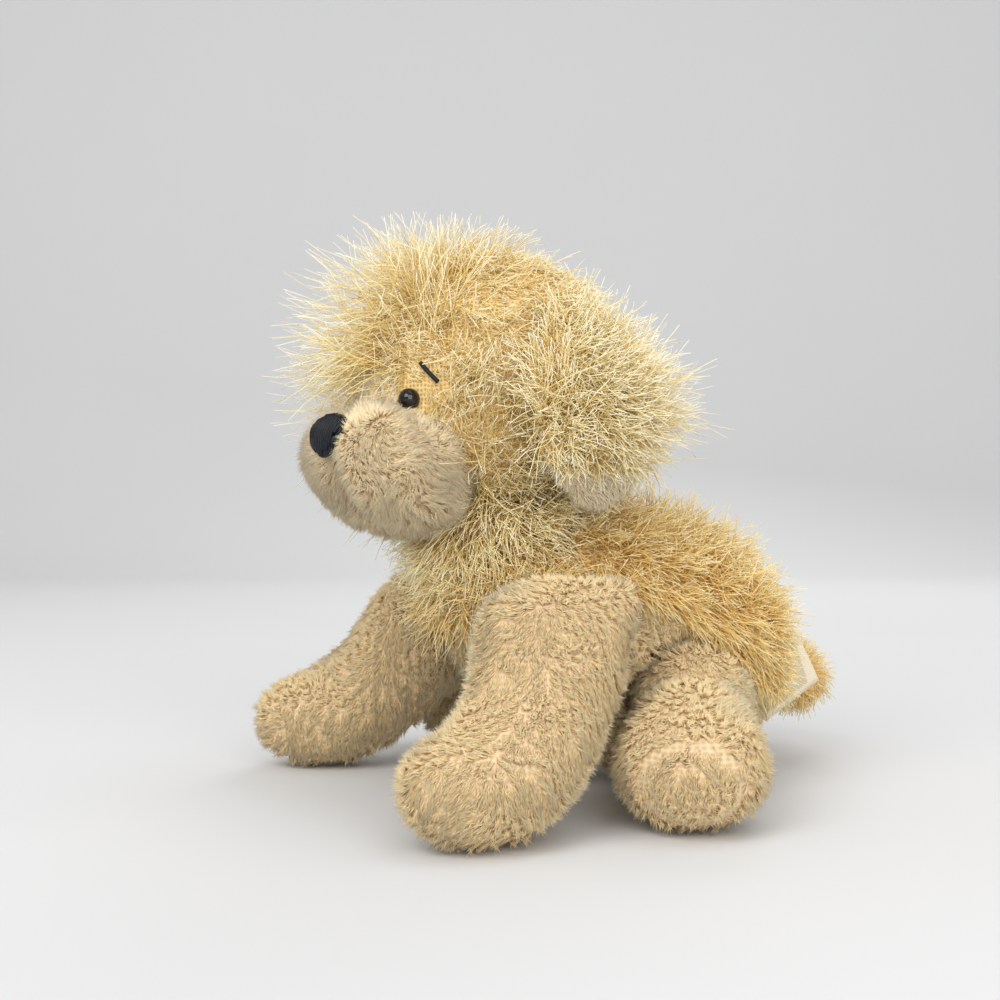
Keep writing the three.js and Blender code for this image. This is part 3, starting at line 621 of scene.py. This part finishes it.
# Tail: a short curled tube of the shaggy knit, filled with fibre. It is sewn on by a round root in
# the rump, where it swings from side to side.
tail = stuffed("tail_skin", TAIL, voxel=0.003, swell=0.002, depth={"tail_cover": 0.002})
knitted(tail, axis=0)
tail.data.materials.append(knit)
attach(tail, "tail")
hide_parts("tail_cover", "tail_stuffing")
spots, facing = scattered(tail, np.ones(len(tail.data.polygons), bool), per_mm2=0.62, seed=51)
clear = ~hidden(spots + facing * SHAG_ROOM, TRUNK)
spots, facing = spots[clear], facing[clear]
flow = np.array([-0.35, 0.2, -0.3]) + drift(spots, size=0.05, seed=52) * 0.2
pile(
    "tail_shag",
    "tail",
    "shag",
    shag,
    (spots, facing, flow),
    length=0.009,
    width=SHAG_WIDTH,
    rings=4,
    lift=0.6,
    stray=0.3,
    fall=0.1,
    seed=53,
)

# Neck: a round stuffed core between the chest and the head, under a ruff of the back's shag whose yarn is
# coloured paler as painted light, lifting the shade under the head and ears. The core sits in the chest
# and the head turns on it.
ruff_painted_light = strand_cloth(
    "ruff_yarn_painted_light",
    [(0, (1, 0.70, 0.25)), (0.4, (1, 0.78, 0.35)), (0.75, (1, 0.86, 0.48)), (1, (1, 0.95, 0.70))],
    [(0, (0.94, 0.88, 0.76)), (0.5, (0.99, 0.97, 0.92)), (1, (1, 1, 1))],
    roughness=0.4,
    sheen=0.05,
)
neck = stuffed("neck_skin", ["neck_stuffing"], voxel=0.0035, swell=0.001, depth={"neck_stuffing": 0})
knitted(neck, axis=2)
neck.data.materials.append(knit)
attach(neck, "neck")
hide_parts("neck_stuffing")
spots, facing = scattered(neck, np.ones(len(neck.data.polygons), bool), per_mm2=1.15, seed=61)
clear = ~hidden(spots + facing * SHAG_ROOM, TRUNK + HEAD)
spots, facing = spots[clear], facing[clear]
flow = np.array([0, 0, -0.4]) + drift(spots, size=0.05, seed=62) * 0.2
flow = flow + drift(spots, size=0.012, seed=64) * 0.3
pile(
    "neck_shag",
    "neck",
    "shag",
    ruff_painted_light,
    (spots, facing, flow),
    length=0.0205,
    width=SHAG_WIDTH,
    rings=4,
    lift=0.8,
    stray=0.28,
    fall=0.2,
    seed=63,
)

# Head: a ball of the shaggy knit with a plush muzzle of two round cheeks and a chin sewn on its
# front, all filled with fibre. The plush runs up between the eyes. The head is turned to the
# dog's left.
BEAD_DEPTH = 0.0055  # how far behind its front an eye is still round


def corners_of(node):
    """The corners of a CAD node."""
    return np.array([vertex.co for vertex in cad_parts[node].data.vertices])


def bead_of(node):
    """Centre and radius of the ball of an eye."""
    spots = corners_of(node)
    out = unit(spots.mean(0) - skull_at)
    ahead = spots @ out
    ball = spots[ahead > ahead.max() - BEAD_DEPTH]
    rows = np.column_stack([2 * ball, np.ones(len(ball))])
    x, y, z, rest = np.linalg.lstsq(rows, (ball**2).sum(1), rcond=None)[0]
    middle = np.array([x, y, z])
    return middle, math.sqrt(rest + middle @ middle)


def to_line(spots, start, end):
    """How far spots are from a straight line between two points."""
    along = np.clip((spots - start) @ (end - start) / ((end - start) @ (end - start)), 0, 1)
    return np.linalg.norm(spots - start - along[:, None] * (end - start), axis=1)


HEAD_TURN = math.radians(10)
SKULL_HEIGHT = 0.147  # middle of the skull above the floor
BLAZE = 0.0085  # half the width of the plush that runs up between the eyes
ahead_way = np.array([math.sin(HEAD_TURN), -math.cos(HEAD_TURN), 0])
left_way = np.array([math.cos(HEAD_TURN), math.sin(HEAD_TURN), 0])
skull_at = middle_of("head_cover")
skull_at[2] = SKULL_HEIGHT
nose_at = middle_of("nose")
eyes = {side: bead_of(f"eye_{side}") for side in ("left", "right")}
brows = {side: corners_of(f"eyebrow_{side}") for side in eyes}
between = (eyes["left"][0] + eyes["right"][0]) / 2
EARS = [f"ear_{side}_{layer}" for side in ("left", "right") for layer in ("outer", "lining")]

# The head and ears wear the same shag as the back, so their paler yarn is painted light on them. The
# darker roots and paler tips are painted shade and light.
straw_painted_light = strand_cloth(
    "straw_yarn_painted_light",
    [(0, (0.86, 0.61, 0.20)), (0.35, (0.92, 0.71, 0.29)), (0.7, (0.97, 0.85, 0.48)), (1, (1, 0.96, 0.80))],
    [(0, (0.88, 0.80, 0.66)), (0.5, (0.98, 0.95, 0.88)), (1, (1, 1, 1))],
    roughness=0.38,
    sheen=0.05,
)
covers = ["head_cover", "muzzle_cover", "chin_panel"]
depth = dict(zip(covers, (0, PLUSH_DEPTH, PLUSH_DEPTH)))
head = stuffed("head_skin", HEAD, voxel=0.003, swell=0.0025, depth=depth)
bridge_push = ahead_way * 0.0015 + np.array([0, 0, 0.002])
swollen(head, middle=between * 0.75 + nose_at * 0.25, reach=0.0075, push=bridge_push)
head_face = faces_on(head, covers)
middles = np.array([face.center for face in head.data.polygons])
in_blaze = to_line(middles, nose_at, between + np.array([0, 0, 0.001])) < BLAZE
head_face[(head_face == 0) & in_blaze] = 1
knitted(head, axis=2, pitch=0.0015)
head.data.materials.append(knit)
head.data.materials.append(felt)
head.data.polygons.foreach_set("material_index", (head_face > 0).astype(np.int32))
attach(head, "head")
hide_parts(*HEAD)


def off_eyes(spots):
    """How far spots are from the nearest bead's surface and from the nearest brow."""
    to_bead = np.min([np.linalg.norm(spots - at, axis=1) - size for at, size in eyes.values()], axis=0)
    to_brow = np.min(
        [np.linalg.norm(spots[:, None] - brow[None, ::3], axis=2).min(1) for brow in brows.values()],
        axis=0,
    )
    return to_bead, to_brow


EYE_ROOM = 0.0022  # no yarn has its root nearer to a bead
BROW_ROOM = 0.001  # or nearer to a brow
BROW_ROOM_SHORT = 0.0014  # for the undercoat
BROW_ROOM_LONG = 0.003  # for the long yarn
LOOK_RADIUS = 0.0068  # round the middle of an eye and its brow
FACE_FADE = 0.012  # over which the yarn reaches its full length
HEAD_LENGTH = 0.0215
HEAD_UNDERCOAT_LENGTH = 0.008
CHEEK_OFFSET = np.array([0.017, 0.024, -0.004])  # sparser patch behind the left eye
CHEEK_REACH = 0.027
SKULL_REACH = 0.046
CROWN_FADE = 0.025
JAW_TOP = 0.006  # above the skull's middle
JAW_FADE = 0.02
spots, facing = scattered(head, head_face == 0, per_mm2=1.06, seed=71)
to_bead, to_brow = off_eyes(spots)
clear = ~hidden(spots + facing * SHAG_ROOM, ["neck_stuffing", "nose"] + EARS + TRUNK)
clear &= (to_bead > EYE_ROOM) & (to_brow > BROW_ROOM)
spots, facing, to_bead, to_brow = spots[clear], facing[clear], to_bead[clear], to_brow[clear]

# The yarn is sparser behind the left eye, and sparser and shorter on the back of the crown
face_far = np.clip((np.minimum(to_bead, to_brow) - BROW_ROOM) / FACE_FADE, 0, 1)
cheek = np.exp(-(((spots - eyes["left"][0] - CHEEK_OFFSET) / CHEEK_REACH) ** 2).sum(1))
rear_way = unit(np.array([0.42, 0.9, 0]))
rear = np.clip((((spots - skull_at) @ rear_way) / SKULL_REACH + 0.5) / 0.75, 0, 1)
rear *= np.clip((spots[:, 2] - skull_at[2]) / CROWN_FADE, 0, 1)
chance = np.random.default_rng(72).random(len(spots))
turns = np.arange(len(spots)) % 9
ends = (turns > 6) & (to_brow > BROW_ROOM_LONG)
ends &= chance < (0.6 + 0.4 * face_far) * (1 - 0.3 * cheek) * (1 - 0.45 * rear)
under = (to_brow > BROW_ROOM_SHORT) & ((turns < 5) | ((turns < 7) & (face_far < 0.9)))
under &= chance < 1 - 0.2 * cheek

# It is led away from each eye and its brow, and sideways between the two
looks = np.array([(at + brows[side].mean(0)) / 2 for side, (at, _) in eyes.items()])
from_look = spots[:, None] - looks[None]
closest = np.linalg.norm(from_look, axis=2).argmin(1)
from_look = from_look[np.arange(len(spots)), closest]
flow = crossing(spots, seed=76) + unit(from_look) * (1 - face_far)[:, None]
outer = np.linalg.norm(from_look, axis=1) > LOOK_RADIUS
upward = np.array([brows[side].mean(0) - at for side, (at, _) in eyes.items()])
across = unit(np.cross(upward, looks - skull_at))[closest]
across *= np.where((from_look * across).sum(1) > 0, 1, -1)[:, None]
flow = np.where(outer[:, None], flow, across * 1.2 + drift(spots, size=0.004, seed=78) * 0.3)
room = np.minimum(to_brow, to_bead)
long = np.where(outer, 0.0035 + 0.6 * room, 0.0022 + 0.5 * room)
long = np.minimum(HEAD_UNDERCOAT_LENGTH * (1 - 0.3 * rear), long)
steep = 0.35 + 1.0 * (1 - face_far)
roots = spots[under], facing[under], flow[under]
pile(
    "head_undercoat",
    "head",
    "shag",
    straw_painted_light,
    roots,
    length=long[under],
    lift=steep[under],
    seed=75,
    **UNDERCOAT,
)
low = np.clip((skull_at[2] + JAW_TOP - spots[:, 2]) / JAW_FADE, 0, 1)
forward = np.maximum(facing @ unit(np.array([-0.42, -0.9, 0.1])), 0)
flow = np.array([0, 0, -0.05]) + drift(spots, size=0.038, seed=73) * 0.42
flow = flow + drift(spots, size=0.011, seed=77) * 0.3
flow += rear[:, None] * (rear_way * 0.5 + np.array([0, 0, -0.4]))
flow += unit(from_look) * 0.8 * (1 - face_far)[:, None]
long = HEAD_LENGTH * (0.4 + 0.6 * face_far)
long = long * (1 + 0.75 * forward + 0.3 * forward * low) * (1 - 0.3 * rear)
steep = 0.62 + 0.2 * forward - 0.42 * rear
pile(
    "head_shag",
    "head",
    "shag",
    straw_painted_light,
    (spots[ends], facing[ends], flow[ends]),
    length=long[ends],
    width=SHAG_WIDTH,
    rings=5,
    lift=steep[ends],
    stray=0.25,
    fall=0.08,
    seed=74,
    top=SHAG_TOP,
)

# Darker root as painted shade in the pile, paler tip as painted light through the yarn.
muzzle_plush = strand_cloth(
    "pale_plush",
    [(0, (0.70, 0.51, 0.28)), (0.45, (0.90, 0.71, 0.43)), (1, (1, 0.89, 0.63))],
    [(0, (0.86, 0.84, 0.80)), (0.5, (0.97, 0.965, 0.95)), (1, (1, 1, 1))],
    roughness=0.75,
    sheen=0.2,
)
MOUTH_SEAM = 0.0007  # half the gap in the plush between the cheeks
MOUTH_TOP = 0.006  # below the middle of the nose
MOUTH_LEAN = 0.006  # how far from the seam the plush leans away from it
MUZZLE_ROOM = 0.001
MUZZLE_EYE_ROOM = 0.0006
spots, facing = scattered(head, head_face > 0, per_mm2=6.0, seed=81)
clear = ~hidden(spots + facing * MUZZLE_ROOM, ["neck_stuffing", "nose"] + TRUNK)
clear &= off_eyes(spots)[0] > MUZZLE_EYE_ROOM
spots, facing = spots[clear], facing[clear]
aside = (spots - nose_at) @ left_way
seam = (np.abs(aside) < MOUTH_SEAM) & (spots[:, 2] < nose_at[2] - MOUTH_TOP)
spots, facing, aside = spots[~seam], facing[~seam], aside[~seam]
flow = unit(spots - nose_at) * 0.55 + np.array([0, 0.1, -0.3])
flow = flow + drift(spots, size=0.02, seed=82) * 0.5
by_seam = np.exp(-np.abs(aside) / MOUTH_LEAN)[:, None]
flow += left_way * np.where(aside > 0, 1, -1)[:, None] * 0.4 * by_seam
flow = flow + gathered(spots, each=30, seed=84) * 0.6
pile(
    "muzzle_plush",
    "head",
    "plush",
    muzzle_plush,
    (spots, facing, flow),
    length=0.0052,
    width=0.00048,
    rings=1,
    lift=0.7,
    stray=0.18,
    fall=0.05,
    seed=83,
)

# Nose: a pad satin-stitched in navy-black thread, on the top front of the muzzle. The stitches run
# side by side from its wide top to its narrow foot.
NOSE_LEAN = math.radians(20)
NOSE_HALF_HEIGHT = 0.0092
NOSE_FOOT = 0.0045  # half the width of the stitched foot
NOSE_FLARE = 0.0082  # how much wider the top is, to either side
NOSE_STITCHES = 15
STITCH_POINTS = 13
STITCH_RADIUS = 0.0008
STITCH_END = 0.45  # share of its width that a stitch has where it dives in
STITCH_PROUD = 0.0001  # middle of a stitch above the pad
AHEAD_OF_NOSE = 0.02
ASKEW = [0.31, 0.27, 0.91]  # a way that no stitch runs in


def speckled(name, roughness, scale, stops):
    """A plain finish with faint small clouds of tone."""
    finish, nodes, links, shader = tinted(name, roughness)
    where = nodes.new("ShaderNodeTexCoord")
    noise = nodes.new("ShaderNodeTexNoise")
    noise.inputs["Scale"].default_value = scale
    links.new(where.outputs["Object"], noise.inputs["Vector"])
    colour = ramp(nodes, stops)
    links.new(noise.outputs["Fac"], colour.inputs["Fac"])
    links.new(colour.outputs["Color"], shader.inputs["Base Color"])
    return finish, shader


navy_black = [(0.3, (0.002, 0.0025, 0.004)), (0.8, (0.009, 0.011, 0.018))]
thread, shader = speckled("black_thread", roughness=0.5, scale=900, stops=navy_black)
shader.inputs["Specular IOR Level"].default_value = 0.3
nose = stuffed("nose_pad", ["nose"], voxel=0.0011, swell=0, depth={"nose": 0.0004})
nose.data.materials.append(thread)
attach(nose, "head")
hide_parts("nose")


def threads(name, courses, radius, sides=6):
    """Round threads along courses of points, each closed at its ends, in one mesh."""
    corners, faces = [], []
    for course in courses:
        base = len(corners)
        ways = unit(np.gradient(course, axis=0))
        for i, (spot, way) in enumerate(zip(course, ways)):
            across = unit(np.cross(way, ASKEW))
            up = np.cross(way, across)
            thin = radius * (STITCH_END if i in (0, len(course) - 1) else 1)
            for k in range(sides):
                angle = 2 * math.pi * k / sides
                corners.append(spot + thin * (across * math.cos(angle) + up * math.sin(angle)))
            if i:
                last = base + (i - 1) * sides
                for k in range(sides):
                    a, b = last + k, last + (k + 1) % sides
                    faces.append((a, b, b + sides, a + sides))
        faces.append(tuple(base + k for k in reversed(range(sides))))
        faces.append(tuple(base + (len(course) - 1) * sides + k for k in range(sides)))
    piece = meshed(name, np.array(corners), faces)
    piece.data.materials.append(thread)
    return piece


nose_out = ahead_way * math.cos(NOSE_LEAN) + np.array([0, 0, math.sin(NOSE_LEAN)])
nose_up = -ahead_way * math.sin(NOSE_LEAN) + np.array([0, 0, math.cos(NOSE_LEAN)])
pad = tree_of(nose)
courses = []
for stitch in np.linspace(-1, 1, NOSE_STITCHES):
    course = []
    for down in np.linspace(1, -1, STITCH_POINTS):
        share = (1 + down) / 2
        aside = stitch * (NOSE_FOOT + NOSE_FLARE * share**0.7)
        start = nose_at + left_way * aside + nose_up * (down * NOSE_HALF_HEIGHT)
        start = start + nose_out * AHEAD_OF_NOSE
        spot = pad.ray_cast(start, -nose_out)[0]
        if spot is not None:
            course.append(np.array(spot) + nose_out * STITCH_PROUD)
    if len(course) > 4:
        courses.append(np.array(course))
stitches = threads("nose_stitches", courses, STITCH_RADIUS)
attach(stitches, "head")

# Eyes: glossy black beads, each on a shank through the head's cloth, where a washer inside the head
# holds it.
brown_black = [(0.3, (0.003, 0.0025, 0.002)), (0.8, (0.012, 0.010, 0.009))]
glass = speckled("black_bead", roughness=0.06, scale=120, stops=brown_black)[0]
for side, (middle, radius) in eyes.items():
    bpy.ops.mesh.primitive_uv_sphere_add(segments=32, ring_count=20, radius=radius, location=middle)
    bead = bpy.context.active_object
    bead.name = f"eye_{side}_bead"
    bpy.ops.object.shade_smooth()
    bpy.ops.object.transform_apply(location=True, rotation=True, scale=True)
    bead.data.materials.append(glass)
    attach(bead, "head")
    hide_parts(f"eye_{side}")

# Brows: short bars of the same black thread as the nose's, stitched through the cloth above the
# eyes.
for side in eyes:
    node = f"eyebrow_{side}"
    bar = stuffed(f"{node}_stitch", [node], voxel=0.0003, swell=0, depth={node: 0})
    bar.data.materials.append(thread)
    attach(bar, "head")
    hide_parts(f"eyebrow_{side}")

# Ears: flat flaps with the shaggy knit outside and a cream plush lining, sewn together round their
# rim. Each hangs from a rolled root on the side of the head and lifts about it.
EAR_LENGTH = 0.0235
EAR_UNDERCOAT_LENGTH = 0.008
EAR_LIP = 0.013  # above its tip, below which the lining shows at the rim
EAR_LIP_TOP = 0.015  # from where the yarn is longer upwards
EAR_LIP_FADE = 0.018
EAR_ROOT_FADE = 0.045  # below the root, over which it is longer downwards
EAR_ROOM = 0.002
LINING_ROOM = 0.001
EAR_OUTWARD = {"left": np.array([0.906, 0.423, 0]), "right": np.array([-0.996, 0.087, 0])}
# Darker root as painted shade in the pile, paler tip as painted light through the yarn.
cream = strand_cloth(
    "cream_plush",
    [(0, (0.80, 0.62, 0.36)), (0.5, (1, 0.85, 0.57)), (1, (1, 0.93, 0.70))],
    [(0, (0.86, 0.85, 0.83)), (1, (1, 1, 1))],
    roughness=0.75,
    sheen=0.2,
)
for side, sign in (("left", 1), ("right", -1)):
    nodes = [f"ear_{side}_outer", f"ear_{side}_lining"]
    body = f"ear_{side}"
    depth = {nodes[0]: 0, nodes[1]: 0.001}
    ear = stuffed(f"{body}_skin", nodes, voxel=0.003, swell=0.0015, depth=depth)
    knitted(ear, axis=2, pitch=0.0013)
    ear.data.materials.append(knit)
    ear.data.materials.append(felt)
    ear_face = faces_on(ear, nodes)
    middles = np.array([face.center for face in ear.data.polygons])
    ways = np.array([face.normal for face in ear.data.polygons])
    rim = (ways @ EAR_OUTWARD[side] > -0.75) & (middles[:, 2] > middles[:, 2].min() + EAR_LIP)
    ear_face[rim] = 0
    ear.data.polygons.foreach_set("material_index", ear_face.astype(np.int32))
    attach(ear, body)
    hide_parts(*nodes)
    spots, facing = scattered(ear, ear_face == 0, per_mm2=1.6, seed=91)
    clear = ~hidden(spots + facing * EAR_ROOM, HEAD)
    spots, facing = spots[clear], facing[clear]
    under = np.arange(len(spots)) % 5 < 2
    over_lip = np.clip((spots[:, 2] - middles[:, 2].min() - EAR_LIP_TOP) / EAR_LIP_FADE, 0, 1)
    down = np.clip((middles[:, 2].max() - spots[:, 2]) / EAR_ROOT_FADE, 0, 1)
    flow = crossing(spots, seed=98)
    long = EAR_UNDERCOAT_LENGTH * (0.5 + 0.5 * over_lip)
    pile(
        f"{body}_undercoat",
        body,
        "shag",
        straw_painted_light,
        (spots[under], facing[under], flow[under]),
        length=long[under],
        lift=0.3,
        seed=97,
        **UNDERCOAT,
    )
    mirror = [sign, 1, 1]
    flow = np.array([0.1 * sign, 0.4, 0]) + (over_lip * (down - 0.45))[:, None] * [0, 0, 0.5]
    flow = flow + drift(spots * mirror, size=0.035, seed=92) * 0.38 * mirror
    flow = flow + drift(spots, size=0.011, seed=99) * 0.3
    flow += unit(spots - middles.mean(0)) * down[:, None] * 0.4 * [1, 1, 0.3]
    long = EAR_LENGTH * (0.42 + 0.58 * over_lip) * (0.5 + 0.5 * down)
    long = long * (1 + 0.5 * np.maximum(facing[:, 1], 0))
    steep = 0.1 + 0.45 * down
    pile(
        f"{body}_shag",
        body,
        "shag",
        straw_painted_light,
        (spots[~under], facing[~under], flow[~under]),
        length=long[~under],
        width=SHAG_WIDTH,
        rings=5,
        lift=steep[~under],
        stray=0.28,
        fall=0.05,
        seed=93,
        top=SHAG_TOP,
    )
    spots, facing = scattered(ear, ear_face == 1, per_mm2=3.0, seed=94)
    clear = ~hidden(spots + facing * LINING_ROOM, HEAD)
    spots, facing = spots[clear], facing[clear]
    flow = np.array([0, 0.1, -0.6]) + drift(spots, size=0.03, seed=95) * 0.4
    pile(
        f"{body}_lining_plush",
        body,
        "lining",
        cream,
        (spots, facing, flow),
        length=0.0040,
        width=0.0005,
        rings=1,
        lift=0.6,
        stray=0.14,
        fall=0.05,
        seed=96,
    )

# Label: a cream woven ribbon folded in two and caught in the side seam beside the tail. Its face is
# plain, with a paler selvedge round a closely woven field.
LABEL_THICK = 0.0003
LABEL_BEND = 0.00028  # half the gap between its two layers
LABEL_CURL = 0.0006  # bulge of its free end to the left
LABEL_POINTS = 11  # across the ribbon
LABEL_ROWS = 13  # along each layer
BEND_ROWS = 8  # round its fold
FIELD_MIDDLE = (0.5, 0.42, 0)  # across and along a layer
WEAVE_COUNT = (44, 50, 1)  # squares of the weave across and along a layer
seam_foot = np.array([0.0224, 0.05985, 0.02225])
seam_top = np.array([0.0224, 0.06510, 0.05068])
free_foot = np.array([0.0224, 0.08417, 0.03629])
free_top = np.array([0.0224, 0.07317, 0.05534])
layer_steps = [(t, 1) for t in np.linspace(0, 1, LABEL_ROWS)]
bend_steps = [(1, math.cos(a)) for a in np.linspace(0, math.pi, BEND_ROWS)[1:-1]]
course = layer_steps + bend_steps + [(t, -1) for t in np.linspace(1, 0, LABEL_ROWS)]
corners, places = [], []
for t, layer in course:
    for across in np.linspace(0, 1, LABEL_POINTS):
        start = seam_foot * (1 - across) + seam_top * across
        end = free_foot * (1 - across) + free_top * across
        spot = start * (1 - t) + end * t
        bulge = math.sqrt(1 - layer**2) * LABEL_BEND if t == 1 else 0
        spot = spot + unit(end - start) * (bulge - LABEL_BEND - LABEL_THICK / 2)
        curl = LABEL_CURL * math.sin(math.pi * across) * t * t
        corners.append(spot + np.array([layer * LABEL_BEND + curl, 0, 0]))
        places.append((across, t))
faces = []
for row in range(len(course) - 1):
    for k in range(LABEL_POINTS - 1):
        a = row * LABEL_POINTS + k
        faces.append((a, a + 1, a + LABEL_POINTS + 1, a + LABEL_POINTS))
tag = meshed("label_ribbon", np.array(corners), faces)
layer = tag.data.uv_layers.new(name="weave")
for loop in tag.data.loops:
    layer.data[loop.index].uv = places[loop.vertex_index]
shaped(tag, "SOLIDIFY", thickness=LABEL_THICK, offset=0)
ribbon, nodes, links, shader = tinted("cream_ribbon", roughness=0.55)
on_ribbon = place_on(nodes, "weave")
inward = nodes.new("ShaderNodeVectorMath")
inward.operation = "SUBTRACT"
inward.inputs[1].default_value = FIELD_MIDDLE
links.new(on_ribbon, inward.inputs[0])
size = nodes.new("ShaderNodeVectorMath")
size.operation = "ABSOLUTE"
links.new(inward.outputs["Vector"], size.inputs[0])
split = nodes.new("ShaderNodeSeparateXYZ")
links.new(size.outputs["Vector"], split.inputs["Vector"])
edge = nodes.new("ShaderNodeMath")
edge.operation = "MAXIMUM"
links.new(split.outputs["X"], edge.inputs[0])
links.new(split.outputs["Y"], edge.inputs[1])
field = ramp(nodes, [(0.385, (0.60, 0.52, 0.37)), (0.41, (0.80, 0.71, 0.53))])
links.new(edge.outputs["Value"], field.inputs["Fac"])
fine = nodes.new("ShaderNodeMapping")
fine.inputs["Scale"].default_value = WEAVE_COUNT
links.new(on_ribbon, fine.inputs["Vector"])
weave = nodes.new("ShaderNodeTexChecker")
weave.inputs["Scale"].default_value = 1
weave.inputs["Color1"].default_value = (1, 1, 1, 1)
weave.inputs["Color2"].default_value = (0.86, 0.85, 0.83, 1)
links.new(fine.outputs["Vector"], weave.inputs["Vector"])
colour = multiplied(nodes, links, field.outputs["Color"], weave.outputs["Color"])
links.new(colour, shader.inputs["Base Color"])
tag.data.materials.append(ribbon)
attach(tag, "label")
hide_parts("label")

# Studio: a sweep of pale matt paper that curves up behind the toy, under large soft lamps at the
# left, in front, above and behind, and a grey surround.
VIEW_TURN = math.radians(65)
PAPER_REACH = 9
SWEEP_START = 1.4
SWEEP_RADIUS = 0.9
SWEEP_TOP = 3.5
back_way = np.array([-math.sin(VIEW_TURN), math.cos(VIEW_TURN), 0])
side_way = np.array([math.cos(VIEW_TURN), math.sin(VIEW_TURN), 0])
profile = [(-PAPER_REACH, 0), (0, 0), (SWEEP_START, 0)]
for bend in np.linspace(0.1, math.pi / 2, 14):
    up = SWEEP_RADIUS - SWEEP_RADIUS * math.cos(bend)
    profile.append((SWEEP_START + SWEEP_RADIUS * math.sin(bend), up))
profile.append((SWEEP_START + SWEEP_RADIUS, SWEEP_TOP))
corners = []
for far, up in profile:
    for aside in (-PAPER_REACH, PAPER_REACH):
        corners.append(back_way * far + side_way * aside + np.array([0, 0, up]))
faces = [(2 * i, 2 * i + 1, 2 * i + 3, 2 * i + 2) for i in range(len(profile) - 1)]
floor = meshed("floor", np.array(corners), faces)
pale_grey = [(0, (0.71, 0.712, 0.715)), (1, (0.73, 0.732, 0.735))]
ground, shader = speckled("pale_paper", roughness=0.9, scale=4, stops=pale_grey)
shader.inputs["Specular IOR Level"].default_value = 0.05
floor.data.materials.append(ground)

world = bpy.data.worlds.new("studio")
world.use_nodes = True
scene.world = world
backdrop = world.node_tree.nodes["Background"]
backdrop.inputs["Color"].default_value = (0.81, 0.81, 0.81, 1)
backdrop.inputs["Strength"].default_value = 0.63

LAMP_AIM = (0, 0, 0.1)  # the middle of the toy


def lamp(name, spot, size, power):
    """A square soft box that faces the toy."""
    light = bpy.data.lights.new(name, "AREA")
    light.size = size
    light.energy = power
    box = bpy.data.objects.new(name, light)
    box.location = spot
    way = np.array(LAMP_AIM) - np.array(spot)
    box.rotation_euler = (
        math.acos(-way[2] / np.linalg.norm(way)),
        0,
        math.atan2(way[1], way[0]) - math.pi / 2,
    )
    scene.collection.objects.link(box)


lamp("key", (1.2, -1.9, 1.7), size=1.5, power=36)
lamp("top", (0.3, 0.3, 1.7), size=1.2, power=5)
lamp("rim", (-1.1, 0.9, 1.0), size=0.9, power=5.5)
lamp("fill", (2.2, -0.46, 0.9), size=1.8, power=35)

camera = bpy.data.cameras.new("camera")
camera.lens = 51.84
camera.sensor_width = 36
eye = bpy.data.objects.new("camera", camera)
eye.location = (0.476, -0.2636, 0.106)
eye.rotation_euler = (math.radians(90), 0, VIEW_TURN)
scene.collection.objects.link(eye)
scene.camera = eye
scene.view_settings.view_transform = "Standard"
